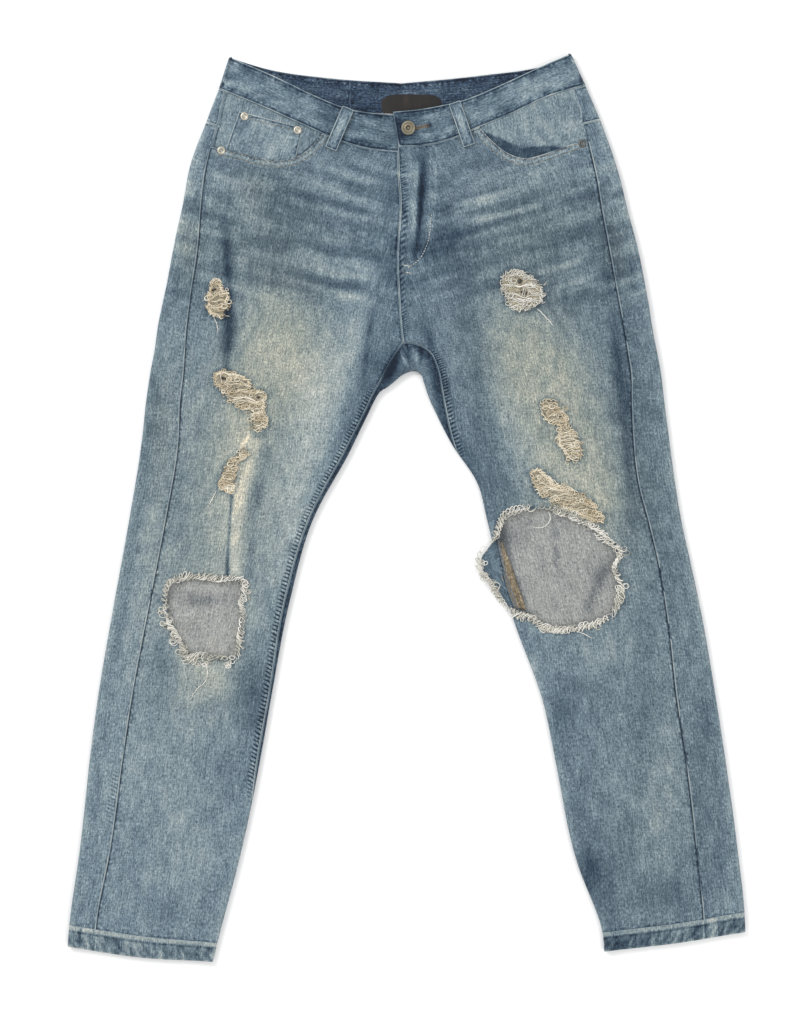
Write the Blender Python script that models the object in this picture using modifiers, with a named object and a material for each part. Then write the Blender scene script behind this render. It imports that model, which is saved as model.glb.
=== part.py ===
"""Ripped jeans lying flat on their back. Metres, +Z up, waist towards +Y, wearer's right leg at -X.

Each leg is a flattened ring of cloth: a front panel on top, and a back panel that comes round both folded
edges to meet it at the outseam and the inseam. A section is one such ring, given by a row of a table.
"""

import math
from collections import namedtuple

import bmesh
import bpy
import numpy as np

# Driving dimensions.
DENIM = 0.0013          # wall of one layer of cloth
BAND = 0.0016           # wall of the waistband, two layers pressed flat
HEM = 0.0020            # wall of the turned hem
GAP = 0.0003            # between pieces at a seam, and between a piece and what lies on it
FOLD_RADIUS = 0.0035    # outside radius of a folded edge
LEG_HEIGHT = 0.0056     # both layers of a leg, well in from its folds
HIP_HEIGHT = 0.0064     # both layers of the hips, pocket cloth between them
EASE = 0.020            # how far in from a fold the cloth has settled to that height
LIFT = DENIM + GAP      # the seat lies this high, on its back pockets and loops
LIFT_FROM = 0.110       # from here towards the waist the cloth rises to LIFT
LIFT_TO = 0.190
BAND_PROUD = 0.0004     # the band stands this much over the panels
UNDERLAP = 0.0026       # the band's hidden end dips this much to pass under the buttoned one
ROW_STEP = 0.040        # greatest distance between two sections
FRONT_CELLS = 13
BACK_CELLS = 9
FOLD_CELLS = 6
EDGE_CELLS = 3
SEAM_POINTS = 33        # on the line of the waist seam, across one hip
QUARTER = FOLD_RADIUS * math.pi / 2
SLACK = FOLD_RADIUS * (math.pi / 2 - 1)     # what a quarter turn adds to the flat distance

# A leg section. outer and inner are its folded edges, outseam and inseam are how far in from them the seams
# lie (below zero: underneath), turn is how many degrees the inseam is swung towards the waist, sag is how
# far the middle of the section hangs towards the hem.
Leg = namedtuple("Leg", "outer_x outer_y inner_x inner_y outseam inseam turn sag")
LEG_RIGHT = (
    Leg(-0.396, -0.512, -0.226, -0.530, 0.033, -0.008, 0, 0.004),
    Leg(-0.394, -0.488, -0.221, -0.509, 0.032, -0.008, 0, 0.003),
    Leg(-0.381, -0.394, -0.194, -0.406, 0.036, -0.005, 0, 0),
    Leg(-0.368, -0.277, -0.169, -0.285, 0.039, 0.0035, 0, 0),
    Leg(-0.361, -0.225, -0.159, -0.228, 0.040, 0.003, 0, 0),
    Leg(-0.341, -0.108, -0.136, -0.108, 0.042, 0.006, 0, 0),
    Leg(-0.324, -0.014, -0.110, -0.016, 0.043, 0.005, 0, 0),
    Leg(-0.309, 0.080, -0.066, 0.066, 0.043, 0.006, 0, 0),
    Leg(-0.304, 0.126, -0.046, 0.107, 0.040, 0.005, 0, 0),
    Leg(-0.299, 0.159, -0.032, 0.134, 0.039, 0.006, 5, 0),
    Leg(-0.294, 0.185, -0.022, 0.141, 0.036, 0.011, 30, 0),
    Leg(-0.290, 0.214, -0.012, 0.149, 0.034, 0.018, 42, 0),
    Leg(-0.285, 0.238, -0.003, 0.156, 0.032, 0.026, 52, 0),
    Leg(-0.280, 0.261, 0.0055, 0.1595, 0.030, 0.035, 55, 0),
)
LEG_LEFT = (
    Leg(0.396, -0.495, 0.231, -0.518, 0.049, -0.010, 0, 0.002),
    Leg(0.395, -0.473, 0.229, -0.497, 0.049, -0.010, 0, 0.002),
    Leg(0.387, -0.400, 0.199, -0.414, 0.048, -0.010, 0, 0),
    Leg(0.371, -0.283, 0.173, -0.291, 0.046, -0.010, 0, 0),
    Leg(0.362, -0.225, 0.160, -0.229, 0.046, -0.010, 0, 0),
    Leg(0.346, -0.131, 0.125, -0.131, 0.041, -0.011, 0, 0),
    Leg(0.332, -0.064, 0.107, -0.067, 0.038, -0.008, 0, 0),
    Leg(0.321, -0.014, 0.094, -0.014, 0.039, -0.009, 0, 0),
    Leg(0.314, 0.028, 0.083, 0.028, 0.043, -0.007, 0, 0),
    Leg(0.307, 0.080, 0.052, 0.076, 0.042, 0.003, 0, 0),
    Leg(0.301, 0.126, 0.028, 0.124, 0.038, 0.016, 0, 0),
    Leg(0.297, 0.159, 0.020, 0.146, 0.035, 0.020, 12, 0),
    Leg(0.292, 0.185, 0.017, 0.155, 0.034, 0.022, 30, 0),
    Leg(0.287, 0.211, 0.012, 0.159, 0.033, 0.028, 50, 0),
    Leg(0.283, 0.238, 0.0055, 0.1595, 0.034, 0.035, 90, 0),
)

# A hip section: its folded edge, where its front ends at the fly seam, and where its back ends at the seat
# seam.
Hip = namedtuple("Hip", "outer_x outer_y front_x front_y back_x back_y outseam")
HIP_RIGHT = (
    Hip(-0.280, 0.261, -0.004, 0.193, 0.0045, 0.163, 0.030),
    Hip(-0.270, 0.314, -0.008, 0.240, 0.004, 0.215, 0.028),
    Hip(-0.261, 0.355, -0.010, 0.290, 0.002, 0.270, 0.022),
    Hip(-0.253, 0.398, -0.007, 0.345, 0.000, 0.335, 0.019),
    Hip(-0.234, 0.450, -0.009, 0.388, -0.004, 0.398, 0.014),
    Hip(-0.219, 0.489, -0.010, 0.416, -0.006, 0.457, 0.008),
)
HIP_LEFT = (
    Hip(0.283, 0.238, -0.004, 0.193, 0.0045, 0.163, 0.034),
    Hip(0.269, 0.308, -0.008, 0.240, 0.004, 0.215, 0.033),
    Hip(0.259, 0.345, -0.010, 0.290, 0.002, 0.270, 0.030),
    Hip(0.249, 0.386, -0.007, 0.345, 0.000, 0.335, 0.027),
    Hip(0.226, 0.453, -0.009, 0.392, -0.004, 0.398, 0.020),
    Hip(0.209, 0.493, -0.010, 0.4215, -0.006, 0.457, 0.014),
)
YOKE_ROW = 4            # the hip section that the yoke is sewn along

# A station of the waistband, from the side fold to the middle: its sewn edge and its top edge.
Station = namedtuple("Station", "lower_x lower_y upper_x upper_y")
BAND_FRONT_RIGHT = (
    Station(-0.219, 0.489, -0.207, 0.526),
    Station(-0.170, 0.469, -0.157, 0.505),
    Station(-0.125, 0.449, -0.109, 0.482),
    Station(-0.085, 0.431, -0.072, 0.467),
    Station(-0.045, 0.419, -0.041, 0.461),
    Station(-0.010, 0.416, -0.012, 0.459),
)
BAND_END_RIGHT = Station(0.026, 0.419, 0.024, 0.461)
BAND_FRONT_LEFT = (
    Station(0.209, 0.493, 0.192, 0.530),
    Station(0.165, 0.480, 0.150, 0.512),
    Station(0.125, 0.461, 0.111, 0.494),
    Station(0.082, 0.443, 0.070, 0.477),
    Station(0.048, 0.429, 0.043, 0.470),
    Station(0.018, 0.4225, 0.014, 0.465),
    Station(-0.010, 0.4215, -0.017, 0.462),
)
BAND_BACK_RIGHT = (
    Station(-0.219, 0.489, -0.207, 0.526),
    Station(-0.170, 0.474, -0.160, 0.512),
    Station(-0.098, 0.463, -0.090, 0.502),
    Station(-0.006, 0.457, -0.006, 0.496),
)
BAND_BACK_LEFT = (
    Station(0.209, 0.493, 0.192, 0.530),
    Station(0.172, 0.479, 0.162, 0.517),
    Station(0.092, 0.466, 0.086, 0.505),
    Station(-0.006, 0.457, -0.006, 0.496),
)

EDGE_STRIP = 0.004      # a strip of small faces beside a seam, so that a fold ends clear of it
FLY_STRIP = 0.012
WAIST_GAP = 1.5 * GAP   # between the panels and the band, which is sewn on at a slant
CUTTER_TOP = 0.020      # cutters reach from between the layers to well over the part
MOUTH_LOW, KNEE_LOW = 0.003, 0.002
MOUTH_RISE, MOUTH_END = 0.060, 0.520
FULL_DEPTH = 0.020      # pocket cloth goes on this far under its mouth

# The largest folds of the top layer: a ridge, or a trough where height is below zero.
Crease = namedtuple("Crease", "x1 y1 x2 y2 width height")
CREASES = (
    Crease(-0.210, 0.314, -0.208, 0.160, 0.014, -0.0008),
    Crease(-0.198, 0.080, -0.202, -0.078, 0.014, 0.0018),
    Crease(-0.031, 0.255, -0.052, 0.130, 0.013, -0.0009),
    Crease(0.016, 0.232, 0.057, 0.110, 0.013, -0.0009),
    Crease(0.226, 0.314, 0.264, -0.020, 0.016, -0.0008),
    Crease(0.171, 0.214, 0.171, 0.120, 0.014, 0.0012),
    Crease(0.004, 0.440, 0.004, 0.300, 0.022, 0.0008),
)

# Pocket mouths, each a curve from the outseam down and up to the waist seam.
POCKET_MOUTH_RIGHT = ((-0.222, 0.420), (-0.195, 0.415), (-0.170, 0.408), (-0.145, 0.406), (-0.125, 0.411),
                      (-0.110, 0.423), (-0.098, 0.437))
POCKET_MOUTH_LEFT = ((0.208, 0.429), (0.180, 0.420), (0.158, 0.412), (0.138, 0.408), (0.118, 0.414),
                     (0.100, 0.428), (0.084, 0.445))
COIN_POCKET = ((-0.195, 0.463), (-0.121, 0.444), (-0.131, 0.400), (-0.214, 0.410))

# Torn knees, each a closed outline.
KNEE_HOLE_RIGHT = ((-0.274, -0.086), (-0.258, -0.082), (-0.218, -0.084), (-0.191, -0.086), (-0.194, -0.112),
                   (-0.191, -0.131), (-0.197, -0.160), (-0.200, -0.173), (-0.230, -0.172), (-0.258, -0.172),
                   (-0.264, -0.155), (-0.276, -0.133), (-0.280, -0.108))
KNEE_HOLE_LEFT = ((0.109, -0.020), (0.117, -0.008), (0.140, -0.002), (0.168, -0.003), (0.200, -0.014),
                  (0.229, -0.034), (0.249, -0.054), (0.241, -0.068), (0.249, -0.090), (0.247, -0.110),
                  (0.234, -0.127), (0.210, -0.136), (0.170, -0.140), (0.146, -0.128), (0.123, -0.120),
                  (0.111, -0.106), (0.099, -0.085), (0.087, -0.070), (0.088, -0.056), (0.102, -0.039))

LOOP_WIDTH = 0.013
LOOPS_FRONT = {"loop_front_right": ((-0.066, 0.469), (-0.088, 0.419)),
               "loop_front_left": ((0.055, 0.476), (0.073, 0.423))}
LOOPS_BACK = {"loop_back_right": ((-0.150, 0.512), (-0.160, 0.461)),
              "loop_back_centre": ((-0.006, 0.499), (-0.006, 0.446)),
              "loop_back_left": ((0.140, 0.515), (0.150, 0.464))}
POCKET_WIDTH = 0.145
POCKET_HEIGHT = 0.160
POCKET_TAPER = 0.86     # its bottom corners are this much closer than its top ones
POCKET_POINT = 0.022    # how much lower the middle of its bottom edge is than its corners
BACK_POCKETS = {"back_pocket_right": (-0.110, 0.318, -6), "back_pocket_left": (0.108, 0.318, 6)}
RIVET_RADIUS = 0.0048
RIVETS = {"rivet_coin_outer": (-0.189, 0.457), "rivet_coin_inner": (-0.127, 0.441),
          "rivet_pocket_right": (-0.216, 0.417), "rivet_pocket_left": (0.205, 0.425)}
BUTTON = (0.002, 0.443)
BUTTON_RADIUS = 0.0082
LABEL_CENTRE = (0.006, 0.470)
LABEL_SIZE = (0.070, 0.026)
LABEL_THICKNESS = 0.0008
ZIP_TOP, ZIP_BOTTOM = 0.410, 0.298
ZIP_HALF_WIDTH = 0.013
ZIP_THICKNESS = 0.0010
COIN_DEPTH = DENIM + GAP            # the coin pocket's face lies this far under the front panel's
FACING_DEPTH_LEFT = DENIM + GAP
FACING_DEPTH_RIGHT = COIN_DEPTH + DENIM
FACING_THICKNESS = 0.0010
FACING_LEAN = 0.19                  # its outer edge leans in with the outseam by this much a metre
FACING_TUCK = 0.002                 # and reaches this far past it


def smoothstep(low, high, value):
    share = min(max((value - low) / (high - low), 0), 1)
    return share * share * (3 - 2 * share)


def spline(table, knots, at):
    """The rows of a table joined by a smooth curve: its values at one place along the knots."""
    rows = np.array(table, float)
    slopes = np.gradient(rows, knots, axis=0)
    i = min(max(int(np.searchsorted(knots, at, "right")) - 1, 0), len(knots) - 2)
    span = knots[i + 1] - knots[i]
    f = (at - knots[i]) / span
    return ((2 * f**3 - 3 * f**2 + 1) * rows[i] + (f**3 - 2 * f**2 + f) * span * slopes[i]
            + (3 * f**2 - 2 * f**3) * rows[i + 1] + (f**3 - f**2) * span * slopes[i + 1])


def knots_of(table):
    """How far along its first two columns, which are a point, each row of a table lies."""
    steps = np.linalg.norm(np.diff(np.array(table, float)[:, :2], axis=0), axis=1)
    return np.concatenate([[0], np.cumsum(steps)])


def curve(points, count):
    """Evenly spaced points on a smooth curve through a few."""
    knots = knots_of(points)
    return np.array([spline(points, knots, at) for at in np.linspace(0, knots[-1], count)])


def along(path, distance):
    """The point this far along a line of points."""
    steps = np.linalg.norm(np.diff(path, axis=0), axis=1)
    ends = np.concatenate([[0], np.cumsum(steps)])
    return np.array([np.interp(distance, ends, path[:, 0]), np.interp(distance, ends, path[:, 1])])


def length_of(path):
    return float(np.linalg.norm(np.diff(path, axis=0), axis=1).sum())


def outline_of(legs, hips):
    """Points along the folded edges of one leg and hip."""
    outer = [row[:2] for row in curve(legs, 60)] + [row[:2] for row in curve(hips, 20)[1:]]
    inner = [row[2:4] for row in curve(legs, 60)]
    return outer, inner


EDGES = [np.array(line) for legs, hips in ((LEG_RIGHT, HIP_RIGHT), (LEG_LEFT, HIP_LEFT))
         for line in outline_of(legs, hips)]


def distance_to_segment(x, y, x1, y1, x2, y2):
    run, rise = x2 - x1, y2 - y1
    share = np.clip(((x - x1) * run + (y - y1) * rise) / (run * run + rise * rise), 0, 1)
    return np.hypot(x - x1 - share * run, y - y1 - share * rise)


def distance_to_edge(x, y):
    return min(float(distance_to_segment(x, y, line[:-1, 0], line[:-1, 1], line[1:, 0], line[1:, 1]).min())
               for line in EDGES)


def under_height(y):
    """Height of the underside."""
    return LIFT * smoothstep(LIFT_FROM, LIFT_TO, y)


def top_height(x, y):
    """Height of the top layer's outer face."""
    hip = smoothstep(LIFT_FROM, LIFT_TO, y)
    settled = LEG_HEIGHT + (HIP_HEIGHT - LEG_HEIGHT) * hip
    inside = smoothstep(FOLD_RADIUS, FOLD_RADIUS + EASE, distance_to_edge(x, y))
    raised = 0
    for crease in CREASES:
        away = float(distance_to_segment(x, y, crease.x1, crease.y1, crease.x2, crease.y2))
        raised += crease.height * math.exp(-((away / crease.width) ** 2))
    return under_height(y) + 2 * FOLD_RADIUS * (1 - inside) + (settled + raised) * inside


class Section:
    """One ring of cloth. A place on it is how far from the outer fold it lies: below zero, underneath."""

    def __init__(self, top, under, has_inner_fold):
        self.paths = {True: np.array(top), False: np.array(under)}
        self.folds = 2 if has_inner_fold else 1
        self.top_length = length_of(self.paths[True]) + self.folds * SLACK
        self.under_length = length_of(self.paths[False]) + self.folds * SLACK

    def point(self, place, inset):
        """The point at a place on the outer face, or this far inside it."""
        over = place >= 0
        length = self.top_length if over else self.under_length
        from_outer = self.folds == 1 or abs(place) < length / 2
        reach = abs(place) if from_outer else length - abs(place)
        if reach < 0:
            over, reach = not over, -reach
        angle = min(reach / FOLD_RADIUS, math.pi / 2)
        radius = FOLD_RADIUS - inset
        inward = FOLD_RADIUS - radius * math.cos(angle) + max(0, reach - QUARTER)
        path = self.paths[over]
        x, y = along(path if from_outer else path[::-1], inward)
        if reach < QUARTER:
            side = 1 if over else -1
            return x, y, under_height(y) + FOLD_RADIUS + side * radius * math.sin(angle)
        return x, y, top_height(x, y) - inset if over else under_height(y) + inset


def arc_of(flat):
    """Distance over the surface from a fold to a place this far in from it; below zero both are underneath."""
    size = abs(flat)
    arc = size + SLACK if size >= FOLD_RADIUS else FOLD_RADIUS * math.acos(1 - size / FOLD_RADIUS)
    return math.copysign(arc, flat)


def leg_section(table, at):
    """The ring of a leg this far up it, with its seams' places on it."""
    row = Leg(*spline(table, knots_of(table), at))
    outer = np.array([row.outer_x, row.outer_y])
    inner = np.array([row.inner_x + math.copysign(GAP, row.outer_x) / 2, row.inner_y])
    across = (outer - inner) / np.linalg.norm(outer - inner)
    turn = math.radians(row.turn) * (-1 if outer[0] < inner[0] else 1)
    swung = np.array([across[0] * math.cos(turn) - across[1] * math.sin(turn),
                      across[0] * math.sin(turn) + across[1] * math.cos(turn)])
    least = FOLD_RADIUS + 0.001
    knee = inner + swung * max(row.inseam, least)
    low_knee = inner + swung * least
    middle = (outer + knee) / 2 - np.array([0, row.sag])
    low_middle = (outer + low_knee) / 2 - np.array([0, row.sag])
    section = Section(curve([outer, middle, knee], 9).tolist() + [inner],
                      curve([outer, low_middle, low_knee], 9).tolist() + [inner], True)
    section.outseam = arc_of(row.outseam)
    section.front_end = section.top_length - arc_of(row.inseam)
    section.back_end = section.under_length + arc_of(row.inseam)
    return section


def hip_section(table, bands, at):
    """The ring of a hip this far up from the crotch. Its waist end takes the bend of the waistband's seam."""
    knots = knots_of(table)
    row = Hip(*spline(table, knots, at))
    ends = Hip(*table[-1])
    share = (at / knots[-1]) ** 2
    paths = []
    for band, x, y, end_x, end_y in ((bands[0], row.front_x, row.front_y, ends.front_x, ends.front_y),
                                     (bands[1], row.back_x, row.back_y, ends.back_x, ends.back_y)):
        seam = curve([station[:2] for station in band], SEAM_POINTS)
        chord = np.linspace((ends.outer_x, ends.outer_y), (end_x, end_y), SEAM_POINTS)
        paths.append(np.linspace((row.outer_x, row.outer_y), (x, y), SEAM_POINTS) + share * (seam - chord))
    section = Section(paths[0], paths[1], False)
    section.outseam = arc_of(row.outseam)
    section.front_end = section.top_length
    section.back_end = section.under_length
    return section


def spaced(knots, start, end):
    """Places from start to end that keep every row of the table between them."""
    marks = [start] + [k for k in knots if start + 0.002 < k < end - 0.002] + [end]
    places = [start]
    for low, high in zip(marks, marks[1:]):
        cells = math.ceil((high - low) / ROW_STEP)
        places += np.linspace(low, high, cells + 1)[1:].tolist()
    return places


def front_places(section, is_leg):
    start = section.outseam + GAP / 2
    end = section.front_end - GAP / 2
    turn = min(end - EDGE_STRIP, section.top_length - QUARTER) if is_leg else end - FLY_STRIP
    return np.linspace(start, turn, FRONT_CELLS).tolist() + np.linspace(turn, end, EDGE_CELLS + 1)[1:].tolist()


def back_places(section, is_leg):
    start = section.outseam - GAP / 2
    end = section.back_end - GAP / 2
    turn = min(end - EDGE_STRIP, section.under_length - QUARTER) if is_leg else end
    places = np.linspace(start, QUARTER, 3).tolist()
    places += np.linspace(QUARTER, -QUARTER, FOLD_CELLS + 1)[1:].tolist()
    places += np.linspace(-QUARTER, -turn, BACK_CELLS + 1)[1:].tolist()
    if is_leg:
        places += np.linspace(-turn, -end, FOLD_CELLS)[1:].tolist()
    return places


def ring_places(section):
    """Places all round a leg's ring."""
    top = section.top_length
    under = section.under_length
    places = np.linspace(-QUARTER, QUARTER, FOLD_CELLS + 1).tolist()
    places += np.linspace(QUARTER, top - QUARTER, FRONT_CELLS)[1:].tolist()
    places += np.linspace(top - QUARTER, top + QUARTER, FOLD_CELLS + 1)[1:].tolist()
    return places + np.linspace(QUARTER - under, -QUARTER, BACK_CELLS)[1:-1].tolist()


def clear_scene():
    for thing in list(bpy.data.objects):
        bpy.data.objects.remove(thing)


def collection(name, hidden=False):
    made = bpy.data.collections.new(name)
    made.hide_render = hidden
    bpy.context.scene.collection.children.link(made)
    return made


def finish(name, colour, roughness, metallic=0.0):
    """A plain material."""
    made = bpy.data.materials.new(name)
    made.use_nodes = True
    shader = made.node_tree.nodes["Principled BSDF"]
    shader.inputs["Base Color"].default_value = (*colour, 1)
    shader.inputs["Roughness"].default_value = roughness
    shader.inputs["Metallic"].default_value = metallic
    return made


def add_mesh(name, points, faces, place, material=None):
    """An object from points and faces, with its normals turned outwards."""
    mesh = bpy.data.meshes.new(name)
    mesh.from_pydata(points, [], faces)
    work = bmesh.new()
    work.from_mesh(mesh)
    bmesh.ops.recalc_face_normals(work, faces=work.faces)
    work.to_mesh(mesh)
    work.free()
    made = bpy.data.objects.new(name, mesh)
    if material:
        mesh.materials.append(material)
    place.objects.link(made)
    return made


def shell(name, outer, inner, place, material, closed=False):
    """A wall between an outer and an inner grid of points: two faces, and a rim round every edge."""
    points, numbers = [], []
    for grid in (outer, inner):
        numbers.append([])
        for row in grid:
            numbers[-1].append(list(range(len(points), len(points) + len(row))))
            points += row
    faces, edges = [], {}
    for lower, upper in zip(range(len(outer) - 1), range(1, len(outer))):
        columns = min(len(outer[lower]), len(outer[upper]))
        for left in range(columns if closed else columns - 1):
            right = (left + 1) % columns
            corners = [(lower, left), (lower, right), (upper, right), (upper, left)]
            faces.append([numbers[0][i][j] for i, j in corners])
            faces.append([numbers[1][i][j] for i, j in reversed(corners)])
            for a, b in zip(corners, corners[1:] + corners[:1]):
                edges[(b, a)] = edges.get((b, a), 0) + 1
                edges[(a, b)] = edges.get((a, b), 0) + 1
                if edges[(a, b)] > 1:
                    edges[(a, b)] = edges[(b, a)] = 0
    for (a, b), uses in edges.items():
        if uses and a < b:
            faces.append([numbers[0][a[0]][a[1]], numbers[0][b[0]][b[1]],
                          numbers[1][b[0]][b[1]], numbers[1][a[0]][a[1]]])
    return add_mesh(name, points, faces, place, material)


def panel(name, sections, places, wall, place, material, closed=False):
    """A wall of cloth through the sections, over their places."""
    grids = [[[s.point(p, inset) for p in row] for s, row in zip(sections, places)] for inset in (0, wall)]
    return shell(name, *grids, place, material, closed)


def plate(name, grid, wall, place, material):
    """Cloth whose outer face is a grid of points, with its wall under it."""
    rows, columns = len(grid), len(grid[0])
    points = [point for row in grid for point in row]
    faces = [(i * columns + j, i * columns + j + 1, (i + 1) * columns + j + 1, (i + 1) * columns + j)
             for i in range(rows - 1) for j in range(columns - 1)]
    made = add_mesh(name, points, faces, place, material)
    if sum(polygon.normal.z for polygon in made.data.polygons) < 0:
        made.data.flip_normals()
    solidify = made.modifiers.new("wall", "SOLIDIFY")
    solidify.thickness = wall
    solidify.offset = -1
    return made


def prism(name, outline, low, high, place):
    """A cutter: a flat outline pulled from one height to another."""
    count = len(outline)
    points = [(x, y, z) for z in (low, high) for x, y in outline]
    faces = [list(range(count)), list(range(count, 2 * count))]
    faces += [(i, (i + 1) % count, (i + 1) % count + count, i + count) for i in range(count)]
    made = add_mesh(name, points, faces, place)
    made.display_type = "WIRE"
    made.hide_render = True
    return made


def cut(piece, cutter):
    """A hole in a piece, where a hidden cutter stands."""
    boolean = piece.modifiers.new(cutter.name, "BOOLEAN")
    boolean.operation = "DIFFERENCE"
    boolean.solver = "EXACT"
    boolean.object = cutter


def make_panels(side, legs, hips, bands, parts, denim):
    """The front, the back and the yoke of one leg, and its hem."""
    leg_knots, hip_knots = knots_of(legs), knots_of(hips)
    low = spaced(leg_knots, leg_knots[1] + GAP / 2, leg_knots[-1])
    leg_sections = [leg_section(legs, at) for at in low]
    yoke_at = hip_knots[YOKE_ROW]
    waist_at = hip_knots[-1] - WAIST_GAP
    high = spaced(hip_knots, 0, waist_at)[1:]
    hip_sections = [hip_section(hips, bands, at) for at in high]
    front = panel("front_" + side, leg_sections + hip_sections,
                  [front_places(s, True) for s in leg_sections]
                  + [front_places(s, False) for s in hip_sections],
                  DENIM, parts, denim)
    seat = [hip_section(hips, bands, at) for at in spaced(hip_knots, 0, yoke_at - GAP / 2)[1:]]
    panel("back_" + side, leg_sections + seat,
          [back_places(s, True) for s in leg_sections] + [back_places(s, False) for s in seat],
          DENIM, parts, denim)
    yoke = [hip_section(hips, bands, at) for at in spaced(hip_knots, yoke_at + GAP / 2, waist_at)]
    panel("yoke_" + side, yoke, [back_places(s, False) for s in yoke], DENIM, parts, denim)
    hem = [leg_section(legs, at) for at in np.linspace(0, leg_knots[1] - GAP / 2, 3)]
    panel("hem_" + side, hem, [ring_places(s) for s in hem], HEM, parts, denim, closed=True)
    return front


def band_stations(stations, count):
    return [Station(*row) for row in curve(stations, count)]


def make_waistband(parts, denim):
    """One strip: from its hidden end round the right side, across the back and round to the buttoned end."""
    radius = FOLD_RADIUS + BAND_PROUD / 2
    strip = []

    def add(station, height):
        strip.append((station, height))

    def front_height(dip):
        return lambda x, y, inset: top_height(x, y) + BAND_PROUD - dip(x) - inset

    def add_side(station, sign, angles):
        for angle in angles:
            add(station, (sign, angle))

    hidden = front_height(lambda x: UNDERLAP * smoothstep(-0.036, -0.021, x))
    plain = front_height(lambda x: 0)
    under = lambda x, y, inset: under_height(y) + inset
    for station in reversed(band_stations(BAND_FRONT_RIGHT[-1:] + (BAND_END_RIGHT,), 4)[1:]):
        add(station, hidden)
    for station in reversed(band_stations(BAND_FRONT_RIGHT, 18)[1:]):
        add(station, hidden)
    turns = [math.radians(90 - 30 * i) for i in range(7)]
    add_side(BAND_FRONT_RIGHT[0], 1, turns)
    for station in band_stations(BAND_BACK_RIGHT, 9)[1:]:
        add(station, under)
    for station in reversed(band_stations(BAND_BACK_LEFT, 9)[1:-1]):
        add(station, under)
    add_side(BAND_FRONT_LEFT[0], -1, turns[::-1])
    for station in band_stations(BAND_FRONT_LEFT, 18)[1:]:
        add(station, plain)
    grids = []
    for inset in (0, BAND):
        rows = []
        for share in (0, 0.5, 1):
            row = []
            for station, height in strip:
                lower = np.array(station[:2])
                upper = np.array(station[2:])
                lower = lower + (upper - lower) * GAP / np.linalg.norm(upper - lower)
                x, y = lower + (upper - lower) * share
                if isinstance(height, tuple):
                    sign, angle = height
                    x += sign * (FOLD_RADIUS - (radius - inset) * math.cos(angle))
                    rise = (radius - inset) * math.sin(angle)
                    row.append((x, y, under_height(y) + radius + rise))
                else:
                    row.append((x, y, height(x, y, inset)))
            rows.append(row)
        grids.append(rows)
    return shell("waistband", *grids, parts, denim)


def make_facing(name, mouth, sign, depth, parts, cloth):
    """The pocket cloth seen in a pocket mouth, from the waist seam to below the mouth."""
    rims = np.array(mouth)[np.argsort(sign * np.array(mouth)[:, 0])]
    band = BAND_FRONT_RIGHT if sign < 0 else BAND_FRONT_LEFT
    seam = curve([station[:2] for station in band], 60)
    grid = []
    inner, outer = abs(rims[0][0]) - 0.012, abs(rims[-1][0]) + FACING_TUCK
    for share in np.linspace(0, 1, 9):
        reach = inner + (outer - inner) * share
        mouth_y = np.interp(reach, sign * rims[:, 0], rims[:, 1])
        seam_y = np.interp(reach - 0.010 * share, sign * seam[::-1, 0], seam[::-1, 1])
        column = []
        for y in np.linspace(mouth_y - FULL_DEPTH, seam_y - FACING_TUCK, 4):
            x = sign * (reach - FACING_LEAN * share * (y - mouth_y))
            column.append((x, y, top_height(x, y) - depth))
        grid.append(column)
    return plate(name, grid, FACING_THICKNESS, parts, cloth)


def make_coin_pocket(parts, denim):
    upper_left, upper_right, lower_right, lower_left = (np.array(corner) for corner in COIN_POCKET)
    grid = []
    for share in np.linspace(0, 1, 5):
        low = lower_left + (lower_right - lower_left) * share
        high = upper_left + (upper_right - upper_left) * share
        grid.append([(x, y, top_height(x, y) - COIN_DEPTH) for x, y in np.linspace(low, high, 4)])
    return plate("coin_pocket", grid, DENIM - GAP, parts, denim)


def make_loop(name, ends, parts, denim):
    """A belt loop over the front of the band, bowed a little between its two sewn ends."""
    top, foot = np.array(ends[0]), np.array(ends[1])
    side = np.array([-(foot - top)[1], (foot - top)[0]])
    side = side / np.linalg.norm(side) * LOOP_WIDTH / 2
    grid = []
    for share in np.linspace(0, 1, 8):
        x, y = top + (foot - top) * share
        height = top_height(x, y) + BAND_PROUD + GAP + DENIM + 0.0012 * math.sin(math.pi * share)
        grid.append([(x + s * side[0], y + s * side[1], height) for s in (-1, 1)])
    return plate(name, grid, DENIM, parts, denim)


def make_back_loop(name, ends, parts, denim):
    """A belt loop under the seat, pressed flat on what the jeans lie on."""
    (x1, y1), (x2, y2) = ends
    bpy.ops.mesh.primitive_cube_add(size=1, location=((x1 + x2) / 2, (y1 + y2) / 2, DENIM / 2),
                                    rotation=(0, 0, math.atan2(y2 - y1, x2 - x1)))
    return take(name, (math.hypot(x2 - x1, y2 - y1), LOOP_WIDTH, DENIM), parts, denim)


def take(name, scale, parts, material):
    """Gives the primitive just added its name, size, material and collection."""
    made = bpy.context.object
    made.name = made.data.name = name
    made.scale = scale
    made.data.materials.append(material)
    for place in list(made.users_collection):
        place.objects.unlink(made)
    parts.objects.link(made)
    return made


def flat_outline(name, outline, low, thickness, parts, material):
    """A plate from a closed outline: a flat curve, filled and extruded."""
    data = bpy.data.curves.new(name, "CURVE")
    data.dimensions = "2D"
    data.fill_mode = "BOTH"
    data.extrude = thickness / 2
    line = data.splines.new("POLY")
    line.points.add(len(outline) - 1)
    for point, (x, y) in zip(line.points, outline):
        point.co = (x, y, 0, 1)
    line.use_cyclic_u = True
    made = bpy.data.objects.new(name, data)
    made.location.z = low + thickness / 2
    data.materials.append(material)
    parts.objects.link(made)
    return made


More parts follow.
